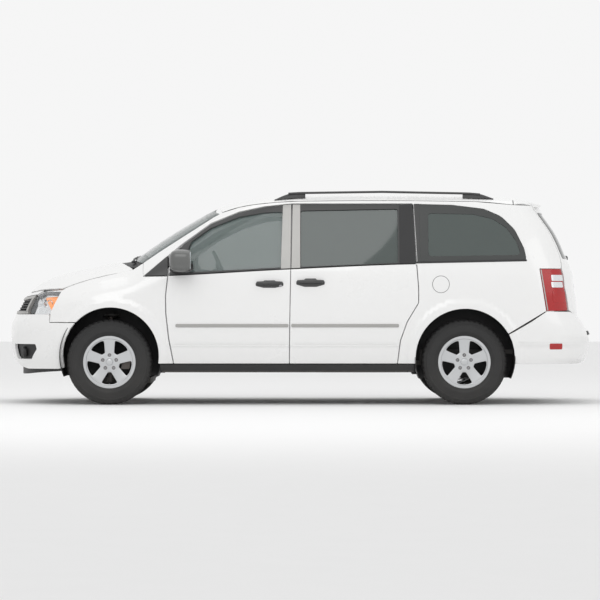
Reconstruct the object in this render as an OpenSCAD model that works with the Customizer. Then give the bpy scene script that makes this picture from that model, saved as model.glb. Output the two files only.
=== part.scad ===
// A five-door minivan: every panel is a slab cut from one smooth body skin.
// Front faces -X, left side is -Y, +Z is up, the origin is on the ground
// under the middle of the body. Sizes are in millimetres.

/* [Overall] */
// Length between the front and rear wheel centres
wheelbase = 3015; // [2700:5:3300]
// Distance between the centre planes of the left and right wheels
track = 1650; // [1560:5:1700]
// Width of the body at its widest, without flares and mirrors
body_w = 1930; // [1850:5:2100]
// Height of the roof at the middle
roof_h = 1804; // [1700:5:2200]
// Bumper length ahead of the front wheel centre
front_overhang = 903; // [860:5:1050]
// Bumper length behind the rear wheel centre
rear_overhang = 1113; // [1000:5:1350]

/* [Wheels] */
// Outer radius of a tyre
tyre_r = 362; // [345:1:370]
// Width of a tyre
tyre_w = 225; // [195:5:245]
// Radius of the rim where the tyre seats
rim_r = 216; // [200:1:230]
// Radius of a brake disc
disc_r = 150; // [130:1:160]
// Radius of a stub axle
spindle_r = 25; // [18:1:32]
// Radius of the front wheel arch opening
front_arch_r = 411; // [405:1:430]
// Radius of the rear wheel arch opening
rear_arch_r = 420; // [405:1:430]
// Height of the front arch's centre
front_arch_z = 416; // [380:1:430]
// Height of the rear arch's centre
rear_arch_z = 396; // [380:1:430]

/* [Panels] */
// Gap round each panel that opens
panel_gap = 8; // [6:0.5:12]
// Gap between pieces that are fixed together
seat = 0.3; // [0.2:0.05:0.5]
// Thickness of a door's shell and of its window frame
shell_t = 30; // [24:1:40]
// Thickness of the padded trim on a door's inside
trim_t = 50; // [30:1:70]
// Thickness of the hood and roof panels
roof_t = 14; // [10:1:20]
// Thickness of the window glass
glass_t = 5; // [4:0.5:8]
// Thickness of the floor pan
floor_t = 35; // [20:1:60]

/* [Cabin] */
// Height of the floor in the front and middle of the cabin
floor_z = 330; // [300:5:360]
// Height of the raised floor over the rear axle
rear_floor_z = 430; // [380:5:460]
// Distance of a seat's middle from the centre line
seat_y = 380; // [330:5:420]
// Width of a seat
seat_w = 500; // [420:5:540]
// Radius of the steering wheel
steer_r = 185; // [160:5:200]

/* [Hidden] */
$fn = 48;
eps = 0.01;
running = 0.05;      // clearance of a shaft in its bore
skin_step = 130;     // spacing of the grid on large panels

// ---- reference lines of the body, at the sizes above ----
ref_front = -1619;
ref_rear = 1396;
ref_nose = -2522;
ref_tail = 2509;
nose_x0 = -(front_overhang + wheelbase + rear_overhang) / 2;
tail_x0 = -nose_x0;
front_x = nose_x0 + front_overhang;
rear_x = front_x + wheelbase;
wheel_y = track / 2;

// A reference length position stretched to this wheelbase and these overhangs
function sx(x) = lookup(x, [[ref_nose - 100, nose_x0 - 100], [ref_nose, nose_x0], [ref_front, front_x],
    [ref_rear, rear_x], [ref_tail, tail_x0], [ref_tail + 100, tail_x0 + 100]]);
// A reference height stretched to this roof height: only what is over the sill grows
sill_z = 347;
function sz(z) = z <= sill_z ? z : sill_z + (z - sill_z) * (roof_h - sill_z) / (1804 - sill_z);
ky = body_w / 1930;
function place(points) = [for (p = points) [sx(p[0]), sz(p[1])]];
function arc(x, z, r, a0, a1, n) =
    [for (i = [0:n]) let (a = a0 + (a1 - a0) * i / n) [x + r * cos(a), z + r * sin(a)]];

// Top of the centre line: hood, cowl, windshield, roof and spoiler
crown_line = place([[-2376, 947], [-2300, 1017], [-2110, 1106], [-1980, 1142], [-1846, 1171], [-1671, 1206],
    [-1569, 1223], [-1500, 1226], [-1427, 1249], [-1319, 1327], [-1144, 1445], [-968, 1553], [-792, 1653],
    [-705, 1696], [-617, 1727], [-440, 1761], [-266, 1785], [0, 1797], [500, 1804], [1100, 1801],
    [1500, 1794], [1842, 1777], [2089, 1730]]);
// Front of the centre line as [height, length position]
nose_line = [for (p = [[-2478, 329], [-2496, 382], [-2513, 434], [-2522, 498], [-2522, 650], [-2513, 694],
    [-2487, 746], [-2469, 798], [-2443, 850], [-2417, 902], [-2376, 947], [-2300, 1017]]) [sz(p[1]), sx(p[0])]];
// Back of the centre line as [height, length position], liftgate and spoiler
tail_line = [for (p = [[2408, 640], [2404, 798], [2395, 902], [2377, 1006], [2369, 1110], [2351, 1163],
    [2334, 1215], [2298, 1267], [2263, 1370], [2211, 1475], [2140, 1579], [2095, 1640],
    [2080, 1700], [2060, 1740]]) [sz(p[1]), sx(p[0])]];
// Back of the rear bumper as [height, length position]
rear_bumper_line = [for (p = [[2440, 345], [2480, 382], [2500, 485], [2509, 538], [2509, 590], [2498, 620],
    [2465, 694], [2430, 746], [2404, 798]]) [sz(p[1]), sx(p[0])]];
// Half width of the sides by height
side_line = [for (p = [[240, 890], [347, 930], [498, 952], [524, 956], [690, 965], [900, 958], [1000, 952],
    [1097, 942], [1205, 920], [1660, 770], [1735, 740], [1804, 705]]) [sz(p[0]), p[1] * ky]];
// Height where the side starts to round into the top
shoulder_line = place([[-2400, 760], [-2000, 840], [-1500, 900], [-1000, 960], [2400, 960]]);
// How sharply the side rounds into the top: 2 is round, 46 is a flat roof
crown_power_line = [for (p = [[-2400, 1.8], [-1900, 1.8], [-1569, 2], [-1343, 2.6], [-1000, 4], [-667, 8],
    [-400, 20], [0, 46], [2400, 46]]) [sx(p[0]), p[1]]];
nose_start = sx(-1500);
tail_start = sx(1500);

// ---- the body skin: its half width at a length and a height ----
function top_factor(x, z) =
    let (r = (z - lookup(x, shoulder_line)) / (lookup(x, crown_line) - lookup(x, shoulder_line)))
    r <= 0 ? 1 : r >= 1 ? 0 : 1 - pow(r, lookup(x, crown_power_line));
function nose_factor(x, z) = let (r = (nose_start - x) / (nose_start - lookup(z, nose_line)))
    r <= 0 ? 1 : r >= 1 ? 0 : 1 - pow(r, 2.6);
function tail_factor(x, z) = let (r = (x - tail_start) / (lookup(z, tail_line) - tail_start))
    r <= 0 ? 1 : r >= 1 ? 0 : 1 - pow(r, 5);
function flare_at(x, z, cx, cz, r) =
    let (d = norm([x - cx, z - cz]) - r)
    d > 90 ? 0 : d < 0 ? 14 : 14 - d * 14 / 90;
function flare(x, z) = z > sz(930) ? 0 : max(flare_at(x, z, front_x + 10, front_arch_z, front_arch_r),
    flare_at(x, z, rear_x + 5, rear_arch_z, rear_arch_r));
function half_width(x, z) = lookup(z, side_line) * pow(top_factor(x, z) * nose_factor(x, z), 1 / 2.8)
    * pow(tail_factor(x, z), 1 / 3.74) + flare(x, z);
// Height of the skin over a point, between two heights, found by halving
function top_z(x, y, low, high, n = 16) = let (mid = (low + high) / 2)
    n == 0 ? mid : half_width(x, mid) > y ? top_z(x, y, mid, high, n - 1) : top_z(x, y, low, mid, n - 1);
function skin_top(x, y) = top_z(x, abs(y), lookup(x, shoulder_line), lookup(x, crown_line));
// Length position of the skin at the front (side = 1) or the back (side = -1) of a point, found by halving
function end_x(y, z, inside, outside, n = 16) = let (mid = (inside + outside) / 2)
    n == 0 ? mid : half_width(mid, z) > y ? end_x(y, z, mid, outside, n - 1) : end_x(y, z, inside, mid, n - 1);

// ---- slabs: closed solids between two grids of points ----
function grid_faces(rows, cols, o, flip) = [for (i = [0:rows - 2], j = [0:cols - 2])
    let (a = o + i * cols + j, b = a + 1, c = a + cols + 1, d = a + cols)
    each flip ? [[a, c, b], [a, d, c]] : [[a, b, c], [a, c, d]]];
function rim(rows, cols) = concat([for (j = [0:cols - 1]) j], [for (i = [1:rows - 1]) i * cols + cols - 1],
    [for (j = [cols - 2:-1:0]) (rows - 1) * cols + j], [for (i = [rows - 2:-1:0]) i * cols]);
module slab(outer, inner) {
    rows = len(outer);
    cols = len(outer[0]);
    n = rows * cols;
    edge = rim(rows, cols);
    polyhedron(concat([for (r = outer) each r], [for (r = inner) each r]),
        concat(grid_faces(rows, cols, 0, false), grid_faces(rows, cols, n, true),
            [for (k = [0:len(edge) - 2])
                let (a = edge[k], b = edge[k + 1]) each [[b, a, a + n], [b, a + n, b + n]]]),
        convexity = 8);
}
function steps(a, b, step) = let (n = max(1, ceil(abs(b - a) / step))) [for (i = [0:n]) a + (b - a) * i / n];

// Slab of the left side between two depths under the skin. Over the crown, where the skin has
// closed, the slab stays upright at least_y, so that it never folds: outlines cut that part off.
least_y = 480;
x_stations = [for (i = [-19:19]) i * 130];
z_stations = [for (z = [200, 268, 300, 347, 420, 498, 524, 600, 690, 800, 900, 1000, 1050, 1097, 1150, 1205,
    1300, 1400, 1500, 1580, 1660, 1700, 1735, 1780]) sz(z)];
// The stations from the last one before a to the first one after b, so that all slabs share their facets
function span(list, a, b) = let (n = len(list)) [for (i = [0:n - 1])
    if ((i == n - 1 || list[i + 1] > a) && (i == 0 || list[i - 1] < b)) list[i]];
module side_slab(x0, x1, z0, z1, d0, d1) {
    xs = span(x_stations, x0, x1);
    zs = span(z_stations, z0, z1);
    function side_y(x, z, d) = d - max(half_width(x, z), least_y);
    slab([for (x = xs) [for (z = zs) [x, side_y(x, z, d0), z]]],
        [for (x = xs) [for (z = zs) [x, side_y(x, z, d1), z]]]);
}
// Slab of the top between two depths under the skin
module top_slab(x0, x1, y1, d0, d1, step = skin_step) {
    xs = steps(x0, x1, step);
    ys = steps(-y1, y1, step);
    slab([for (x = xs) [for (y = ys) [x, y, skin_top(x, y) - d0]]],
        [for (x = xs) [for (y = ys) [x, y, skin_top(x, y) - d1]]]);
}
// Slab of the front between two depths behind the skin
module front_slab(y1, z0, z1, inside, outside, d0, d1, step = skin_step) {
    ys = steps(y1, -y1, step);
    zs = steps(z0, z1, step);
    slab([for (y = ys) [for (z = zs) [end_x(abs(y), z, inside, outside) + d0, y, z]]],
        [for (y = ys) [for (z = zs) [end_x(abs(y), z, inside, outside) + d1, y, z]]]);
}
// Slab of the back between two depths ahead of the skin
module back_slab(y1, z0, z1, inside, outside, d0, d1, step = skin_step) {
    ys = steps(-y1, y1, step);
    zs = steps(z0, z1, step);
    slab([for (y = ys) [for (z = zs) [end_x(abs(y), z, inside, outside) - d0, y, z]]],
        [for (y = ys) [for (z = zs) [end_x(abs(y), z, inside, outside) - d1, y, z]]]);
}
// An outline of the side view, carried across the left half of the body
module side_cut() { rotate([90, 0, 0]) linear_extrude(1300) children(); }
// An outline of the front view, carried from one length position to another
module end_cut(x0, x1) { translate([x0, 0, 0]) rotate([90, 0, 90]) linear_extrude(x1 - x0) children(); }
// The same piece on the left and on the right
module both_sides() {
    children();
    mirror([0, 1, 0]) children();
}

// ---- side view outlines ----
front_door_front = [[-1121, 1097], [-1140, 929], [-1138, 784], [-1113, 559], [-1072, sill_z]];
door_top = 1712;
front_door_pts = place(concat([[-91, sill_z], [-87, 700], [-69, door_top], [-300, 1688], [-520, 1643],
    [-764, 1543], [-1000, 1366]], front_door_front));
slider_rear = [[965, door_top], [990, 1202], [1006, 993], [1006, 865], [908, 703], [851, 543], [827, sill_z]];
slider_pts = place(concat([[-91, sill_z], [-87, 700], [-69, door_top]], slider_rear));
// Window openings, as far as the edge of the glass
front_window_pts = place([[-1035, 1121], [-157, 1168], [-146, 1642], [-300, 1636], [-520, 1600], [-764, 1505],
    [-925, 1390]]);
slider_window_pts = place([[5, 1172], [833, 1208], [833, 1668], [5, 1652]]);
quarter_window_pts = place([[1010, 1213], [1905, 1232], [1880, 1330], [1805, 1482], [1685, 1588], [1542, 1640],
    [1298, 1664], [1010, 1670]]);
// The roof's lower edge, where it meets the sides
drip_line = place([[-705, 1625], [-667, 1642], [-520, 1687], [-400, 1708], [-200, 1727], [-69, 1735], [600, 1742],
    [1500, 1733], [1822, 1705]]);
hood_y = 745;
// Plan line of the hood's side edge as [length position, half width], from the cowl to the headlight
hood_edge = [[-1425, 745], [-1600, 745], [-1780, 745], [-1900, 743], [-1980, 738], [-2035, 728]];
function reversed(list) = [for (i = [len(list) - 1:-1:0]) list[i]];
// Top edge of the quarter panel, just under the roof panel
quarter_top = [for (x = [1100, 1300, 1500, 1700, 1822]) [sx(x), lookup(sx(x), drip_line) - roof_t - seat]];
// Seam of the rear bumper with the quarter panel, from the sill to the lamp
bumper_side_seam = place([[1752, sill_z - 20], [1752, 420], [1780, 600], [2096, 796]]);
lamp_pts = place([[2039, 1154], [2226, 1154], [2283, 800], [2096, 797]]);
bumper_seam_z = 795;

front_arch = concat([[front_x + 10 + front_arch_r, 0]], arc(front_x + 10, front_arch_z, front_arch_r, 0, 180, 24),
    [[front_x + 10 - front_arch_r, 0]]);
rear_arch = concat([[rear_x + 5 + rear_arch_r, 0]], arc(rear_x + 5, rear_arch_z, rear_arch_r, 0, 180, 24),
    [[rear_x + 5 - rear_arch_r, 0]]);

module front_door_outline() { offset(delta = -panel_gap / 2) polygon(front_door_pts); }
module slider_outline() { offset(delta = -panel_gap / 2) polygon(slider_pts); }
module rounded(r) { offset(r = r, $fn = 24) offset(delta = -r) children(); }
module front_window() { rounded(18) polygon(front_window_pts); }
module slider_window() { rounded(25) polygon(slider_window_pts); }
module quarter_window() { rounded(30) polygon(quarter_window_pts); }

// ---- doors ----
// Shell of a door: outer skin and window frame in one, with the trim pad inside
module door_shell(x0, x1) {
    intersection() {
        side_slab(x0, x1, sill_z - 5, sz(door_top) + 5, 0, shell_t);
        side_cut() difference() { children(0); children(1); }
    }
}
module door_trim(x0, x1, z1) {
    intersection() {
        side_slab(x0, x1, sill_z + 90, z1, shell_t - 1, shell_t + trim_t);
        side_cut() offset(delta = -85) children();
    }
}
module left_front_door() {
    color("white") {
        door_shell(sx(-1150), sx(-60)) { front_door_outline(); front_window(); }
        door_trim(sx(-1150), sx(-60), sz(1090)) front_door_outline();
    }
}
module left_sliding_door() {
    color("white") {
        door_shell(sx(-100), sx(1015)) { slider_outline(); slider_window(); }
        door_trim(sx(-100), sx(1015), sz(1130)) slider_outline();
    }
}
module window_glass(x0, x1, z0, z1) {
    color([0.55, 0.65, 0.63, 0.5]) intersection() {
        side_slab(x0, x1, z0, z1, 12, 12 + glass_t);
        side_cut() offset(delta = -seat) children();
    }
}
module left_door_glass() { window_glass(sx(-1100), sx(-130), sz(1110), sz(1650)) front_window(); }
module rear_side_glass() {
    both_sides() {
        window_glass(sx(0), sx(840), sz(1160), sz(1675)) slider_window();
        window_glass(sx(1000), sx(1910), sz(1205), sz(1680)) quarter_window();
    }
}

// ---- fixed body ----
frame_depth = shell_t + panel_gap;
frame_in = 105;
seal_t = panel_gap - seat;
fuel_x = sx(1196);
fuel_z = sz(1023);
fuel_r = 70;
fuel_door_t = 10;
// Pillars and rails behind the doors, with the two door openings
module aperture_frame() {
    intersection() {
        side_slab(sx(-1180), sx(1100), 268, sz(1700), frame_depth, frame_in);
        side_cut() difference() {
            polygon(concat(place([[-1060, 268], [1000, 268], [1090, 480], [1090, 1700], [-330, 1690], [-560, 1632],
                [-780, 1528], [-1030, 1340], [-1170, 1130], [-1170, 600]])));
            offset(delta = -58) polygon(front_door_pts);
            offset(delta = -58) polygon(slider_pts);
            polygon(rear_arch);
            polygon(front_arch);
        }
    }
}
module door_seals() {
    intersection() {
        side_slab(sx(-1150), sx(1015), sill_z, sz(1700), shell_t + seat, frame_depth + 1);
        side_cut() for (p = [front_door_pts, slider_pts]) difference() {
            offset(delta = -34) polygon(p);
            offset(delta = -48) polygon(p);
        }
    }
}
module quarter_panel() {
    depth = 70;
    intersection() {
        side_slab(sx(780), sx(2300), sill_z, sz(1735), 0, depth);
        side_cut() difference() {
            polygon(concat(reversed(place(slider_rear)), quarter_top, place([[2330, 1690], [2330, 797]]),
                reversed([for (p = bumper_side_seam) p - [seat, 0]])));
            offset(delta = panel_gap / 2) polygon(slider_pts);
            polygon(rear_arch);
            quarter_window();
            polygon(lamp_pts);
        }
    }
}
gate_front_x = sx(1880);
module gate_cut(gap) { end_cut(gate_front_x, tail_x0 + 10) offset(delta = gap) polygon(gate_pts); }
module fuel_pocket() {
    translate([fuel_x, -1100, fuel_z]) rotate([-90, 0, 0]) cylinder(r = fuel_r + 6, h = 1100 - 890 * ky);
}
// Rubber stops beside the shut liftgate
module gate_stops() {
    intersection() {
        box(sx(2172), sx(2186), -900, -600, sz(1290), sz(1305));
        difference() { gate_cut(panel_gap + 2); gate_cut(seat); }
    }
}
// Latch stop that the shut fuel door rests on
module fuel_stop() {
    intersection() {
        side_slab(fuel_x, fuel_x + 90, fuel_z - 20, fuel_z + 20, fuel_door_t + seat, 68);
        translate([fuel_x + 48, -1000, fuel_z]) rotate([-90, 0, 0]) cylinder(r = 6, h = 200);
    }
}
module left_body_side() {
    color("white") {
        difference() {
            union() {
                difference() {
                    quarter_panel();
                    fuel_pocket();
                    gate_cut(panel_gap);
                }
                a_pillar();
                aperture_frame();
            }
            roof_slab(20, roof_t + seat);
        }
        gate_stops();
        fuel_stop();
    }
    color([0.1, 0.1, 0.1]) { sill(); door_seals(); }
}
module a_pillar() {
    intersection() {
        side_slab(sx(-1400), sx(-60), sz(1095), sz(1735), 0, 70);
        side_cut() difference() {
            polygon(place([[-1330, 1096], [-1100, 1096], [-990, 1340], [-764, 1530], [-520, 1630], [-300, 1680],
                [-300, 1704], [-400, 1693], [-520, 1672], [-667, 1632], [-1343, 1196]]));
            offset(delta = panel_gap / 2) polygon(front_door_pts);
        }
    }
}
module sill() {
    intersection() {
        side_slab(sx(-1200), sx(985), 268, sill_z + 40, 12, 90);
        side_cut() difference() {
            polygon(place([[-1180, 268], [980, 268], [980, 345], [-1180, 345]]));
            offset(delta = panel_gap / 2) polygon(front_door_pts);
            offset(delta = panel_gap / 2) polygon(slider_pts);
            polygon(rear_arch);
            polygon(front_arch);
        }
    }
}
module fuel_door() {
    color("white") intersection() {
        side_slab(fuel_x - 90, fuel_x + 90, fuel_z - 90, fuel_z + 90, 0, fuel_door_t);
        side_cut() translate([fuel_x, fuel_z]) circle(r = fuel_r);
    }
}
module roof_panel() { color("white") roof_slab(0, roof_t); }
// The roof's sheet from a height above its outer skin to a depth below it
module roof_slab(above, below) {
    n = 18;
    m = 14;
    front = sx(-696);
    rear = sx(1822);
    function edge_y(x) = half_width(x, lookup(x, drip_line)) - eps;
    function px(u, v) = (front + 38 * v * v) * (1 - u) + rear * u;
    function top_z(x, y, v) = abs(v) > 0.999 ? lookup(x, drip_line) : skin_top(x, y);
    function point(u, v, d) =
        let (x = px(u, v), y = v * edge_y(x))
        [x, y, top_z(x, y, v) - d];
    us = [for (i = [0:n]) i / n];
    vs = [for (j = [-m:m]) sin(90 * j / m)];
    slab([for (u = us) [for (v = vs) point(u, v, -above)]],
        [for (u = us) [for (v = vs) point(u, v, below)]]);
}
module fender() {
    seam = [for (p = hood_edge) [sx(p[0]), skin_top(sx(p[0]), p[1] * ky + panel_gap)]];
    intersection() {
        side_slab(sx(-2200), sx(-1060), sill_z, sz(1215), 0, shell_t);
        side_cut() difference() {
            polygon(concat(place([[-1060, sill_z], [-1060, 1095.7], [-1332, 1095.7], [-1349, 1190]]), seam,
                place([[-2035, 974], [-2126, 784], [-2133, 699], [-1900, 699], [-1900, sill_z]])));
            polygon(front_arch);
            offset(delta = panel_gap / 2) polygon(front_door_pts);
            polygon(place([[-1180, sill_z - 5], [-1060, sill_z - 5], [-1060, sill_z + seat],
                [-1180, sill_z + seat]]));
        }
    }
}
module front_fenders() {
    color("white") both_sides() difference() {
        fender();
        hood_cut(panel_gap - eps);
    }
}
// What the hood's plan outline covers, with a gap round it
module hood_cut(gap) { translate([0, 0, sz(900)]) linear_extrude(900) offset(delta = gap) hood_plan(); }
hood_front = [[-2368, 0], [-2345, 200], [-2290, 380], [-2187, 552], [-2110, 655]];
hood_t = roof_t + 6;
module hood_plan() {
    half = [for (p = concat(hood_front, reversed(hood_edge), [[-1480, 600], [-1536, 400], [-1569, 200], [-1575, 0]]))
        [sx(p[0]), p[1] * ky]];
    polygon(concat(half, [for (p = reversed(half)) [p[0], -p[1]]]));
}
module hood_slab(d0, d1) { top_slab(sx(-2368) - 4, sx(-1420), hood_y * ky + 4, d0, d1); }
module hood() {
    color("white") intersection() {
        hood_slab(0, hood_t);
        translate([0, 0, 500]) linear_extrude(1000) hood_plan();
    }
}
module cowl_panel() {
    half = [for (p = [[-1440, 0], [-1420, 200], [-1395, 450], [-1362, 640], [-1350, 700], [-1417, 700], [-1472, 607],
        [-1528, 407], [-1561, 207], [-1567, 0]]) [sx(p[0]), p[1] * ky]];
    color([0.08, 0.08, 0.08]) intersection() {
        top_slab(sx(-1580), sx(-1330), 720 * ky, 2 * glass_t + seat, 40);
        translate([0, 0, 500]) linear_extrude(1000)
            polygon(concat(half, [for (p = reversed(half)) [p[0], -p[1]]]));
    }
}
windshield_pts = [for (p = [[-742, 1207], [-400, 1237], [0, 1249], [400, 1237], [742, 1207], [624, 1632], [400, 1663],
    [0, 1687], [-400, 1663], [-624, 1632]]) [p[0] * ky, sz(p[1])]];
module windshield() {
    color([0.55, 0.65, 0.63, 0.5]) intersection() {
        front_slab(745 * ky, sz(1203), sz(1697), sx(-300), sx(-1600), 0, glass_t * 2, 110);
        end_cut(sx(-1600), sx(-300)) polygon(windshield_pts);
    }
}
// A band round the nose or the tail: the skin's plan line at each height, between two depths
module nose_band(zs, t, y_stop) {
    function band(a, z, d) = let (x = nose_start - (nose_start - lookup(z, nose_line) - d) * pow(cos(a), 2 / 2.6),
        y = (lookup(z, side_line) - d) * pow(sin(abs(a)), 2 / 2.8) * sign(a)) [x, y, z];
    angles = [for (i = [-14:14]) i * y_stop / 14];
    slab([for (i = [28:-1:0]) [for (z = zs) band(angles[i], z, 0)]],
        [for (i = [28:-1:0]) [for (z = zs) band(angles[i], z, t)]]);
}
module tail_band(zs, t, y_stop) {
    function band(a, z, d) = let (x = tail_start + (lookup(z, rear_bumper_line) - tail_start - d) * pow(cos(a), 2 / 5),
        y = (lookup(z, side_line) - d) * pow(sin(abs(a)), 2 / 3.74) * sign(a)) [x, y, z];
    angles = [for (i = [-14:14]) i * y_stop / 14];
    slab([for (i = [0:28]) [for (z = zs) band(angles[i], z, 0)]],
        [for (i = [0:28]) [for (z = zs) band(angles[i], z, t)]]);
}
bumper_t = 30;
module front_bumper() {
    zs = [for (z = [300, 347, 430, 498, 580, 650, 699, 735, 770]) sz(z)];
    color("white") difference() {
        nose_band(zs, bumper_t, 84);
        translate([front_x + 10, 0, 0]) rotate([90, 0, 0]) translate([0, 0, -1100])
            linear_extrude(2200) polygon(
            [for (p = front_arch) [p[0] - front_x - 10, p[1]]]);
        translate([nose_x0 - 50, -360, sz(395)]) cube([300, 720, sz(560) - sz(395)]);
        both_sides() {
            translate([nose_x0 - 50, -700, sz(390)]) cube([250, 230, sz(512) - sz(390)]);
            side_cut() polygon(place([[-2133 - seat, 699], [-1500, 699], [-1500, 800], [-2126 - seat, 800]]));
        }
    }
}
grille_pts = [for (p = [[-650, 770.3], [650, 770.3], [522, 936], [300, 922], [0, 916], [-300, 922], [-522, 936]])
    [p[0] * ky, sz(p[1])]];
module grille() {
    color([0.12, 0.12, 0.12]) intersection() {
        front_slab(620, sz(765), sz(945), sx(-1600), sx(-2600), 4, 34);
        end_cut(sx(-2600), sx(-1900)) polygon(grille_pts);
    }
}
module headlights() {
    color([0.9, 0.9, 0.92]) both_sides() difference() {
        intersection() {
            side_slab(sx(-2320), sx(-2030), sz(765), sz(985), 2, 75);
            side_cut() polygon(place([[-2036, 972], [-2127, 785], [-2128, 770.4], [-2312, 770.4], [-2246, 940],
                [-2187, 970]]));
        }
        end_cut(sx(-2500), sx(-1900)) offset(delta = seat) polygon(grille_pts);
        hood_cut(panel_gap);
    }
}
module rear_bumper() {
    zs = [for (z = [347, 382, 434, 498, 538, 590, 640, 694, 746, 794]) sz(z)];
    color("white") difference() {
        tail_band(zs, 40, 86);
        end_cut(tail_start, tail_x0 + 10) offset(delta = panel_gap) polygon(concat([[-610 * ky, sz(560) + 70]], gate_pts,
            [[610 * ky, sz(560) + 70]]));
        both_sides() side_cut() {
            polygon(rear_arch);
            polygon(concat([[sx(1400), sill_z - 20]], bumper_side_seam, [[sx(2096), sz(830)], [sx(1400), sz(830)]]));
        }
    }
}
module taillights() {
    color([0.7, 0.05, 0.05]) both_sides() difference() {
        intersection() {
            side_slab(sx(2030), sx(2290), sz(790), sz(1160), 1, 70);
            side_cut() offset(delta = -seat) polygon(lamp_pts);
        }
        gate_cut(panel_gap);
    }
}
// Left half of the liftgate's outline, seen from behind
gate_half = [for (p = [[-610, 640], [-650, 740], [-765, 805], [-780, 1000], [-765, 1154], [-700, 1270],
    [-665, 1500], [-640, 1640], [-640, 1700]]) [p[0] * ky, sz(p[1])]];
gate_pts = concat(gate_half, [for (p = reversed(gate_half)) [-p[0], p[1]]]);
gate_window_pts = [for (p = [[-615, 1290], [615, 1290], [560, 1625], [-560, 1625]]) [p[0] * ky, sz(p[1])]];
module liftgate() {
    color("white") {
        intersection() {
            back_slab(785 * ky, sz(640), sz(1705), sx(1500), sx(2600), 0, 40);
            end_cut(sx(1500), sx(2600)) difference() { polygon(gate_pts); rounded(40) polygon(gate_window_pts); }
        }
        spoiler();
    }
}
module spoiler() {
    xs = [for (x = [1830, 1920, 2000, 2060, 2089]) sx(x)];
    ys = steps(-640 * ky, 640 * ky, 128);
    function wing_z(x, y) = lookup(x, crown_line) - 30 * pow(abs(y) / (640 * ky), 3);
    function wing_t(x) = lookup(x, [[sx(1830), 34], [sx(2000), 60], [sx(2060), 44], [sx(2089), 24]]);
    slab([for (x = xs) [for (y = ys) [x, y, wing_z(x, y)]]],
        [for (x = xs) [for (y = ys) [x, y, wing_z(x, y) - wing_t(x)]]]);
}
module liftgate_glass() {
    color([0.2, 0.24, 0.22, 0.7]) intersection() {
        back_slab(630 * ky, sz(1280), sz(1640), sx(1500), sx(2600), 8, 16);
        end_cut(sx(1500), sx(2600)) offset(delta = -seat) rounded(40) polygon(gate_window_pts);
    }
}
// ---- structure and running gear ----
module box(x0, x1, y0, y1, z0, z1) { translate([x0, y0, z0]) cube([x1 - x0, y1 - y0, z1 - z0]); }
floor_half = lookup(floor_z, side_line) - frame_in - seat;
module floor_pan() {
    color("dimgray") difference() {
        union() {
            box(sx(-1130), sx(1060), -floor_half, floor_half, floor_z, floor_z + floor_t);
            box(sx(1025), sx(1060), -690, 690, floor_z, rear_floor_z + floor_t);
            box(sx(1025), sx(2300), -690, 690, rear_floor_z, rear_floor_z + floor_t);
        }
        both_sides() box(rear_x - 440, rear_x + 440, -1000, -691, 0, 1000);
    }
}
module firewall() {
    color("dimgray") box(sx(-1165), sx(-1130) - seat, -floor_half, floor_half, floor_z, sz(1060));
}
module front_rails() {
    color("dimgray") {
        both_sides() box(sx(-2330), sx(-1165) - seat, -480, -400, sz(470), sz(580));
        box(sx(-2380), sx(-2330), -560 * ky, 560 * ky, sz(450), sz(600));
        box(sx(-2300), sx(-2250), -480, 480, sz(800), sz(840));
        both_sides() {
            box(sx(-2300), sx(-2250), -480, -440, sz(560), sz(820));
            box(front_x - 150, front_x - 50, -410, -engine_half - seat, sz(480), sz(560));
        }
        intersection() {
            hood_slab(hood_t + seat, 300);
            both_sides() translate([sx(-2270), -300, sz(830)]) cylinder(r = 12, h = 300);
        }
    }
}
module radiator() { color("black") box(sx(-2298), sx(-2245), -390, 390, sz(400), sz(800) - seat); }
subframe_z = 174;
module front_subframe() {
    color("dimgray") {
        difference() {
            box(front_x - 260, front_x + 330, -470, 470, subframe_z, subframe_z + 45);
            box(front_x - 160, front_x + 230, -340, 340, subframe_z - 10, subframe_z + 60);
        }
        both_sides() {
            for (x = [front_x - 250, front_x + 270]) box(x, x + 50, -470, -420, subframe_z + 40, sz(470) - seat);
            hull() {
                translate([front_x + 10, -430, subframe_z]) cylinder(r = 40, h = 10);
                at_kingpin() translate([0, 0, -20]) cylinder(r = 28, h = 10);
            }
            at_kingpin() translate([0, 0, -15]) cylinder(r = 26, h = 15 - seat);
        }
    }
}
engine_half = 330;
engine_back = front_x + 160;
module engine_block() { color("gray") box(front_x - 400, engine_back, -engine_half, engine_half, 320, sz(900)); }
module wheel_liner(cx, cz, r, y0, y1) {
    rotate([90, 0, 0]) translate([0, 0, y0]) linear_extrude(y1 - y0) difference() {
        polygon(concat([[cx + r, 300]], arc(cx, cz, r, 0, 180, 24), [[cx - r, 300]]));
        polygon(concat([[cx + r - 8, 290]], arc(cx, cz, r - 8, 0, 180, 24), [[cx - r + 8, 290]]));
    }
}
module wheel_liners() {
    color("black") both_sides() {
        difference() {
            wheel_liner(front_x + 5, front_arch_z - 10, front_arch_r + 24, 535, 798.6 * ky);
            at_kingpin() cylinder(r = 75, h = 700);
        }
        wheel_liner(rear_x + 5, rear_arch_z, rear_arch_r - 1, 695, 868 * ky);
    }
}
kingpin_low_y = wheel_y - 65;
kingpin_low_z = 208;
kingpin_lean = 13;
strut_top = 548;
module at_kingpin() {
    translate([front_x, -kingpin_low_y, kingpin_low_z]) rotate([-kingpin_lean, 0, 0]) children();
}
module at_hub(x, side) { translate([x, side * wheel_y, tyre_r]) rotate([side > 0 ? -90 : 90, 0, 0]) children(); }
// Everything about a hub is drawn along +Z, which points out of the wheel, from its centre plane
hub_face = 40;
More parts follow.
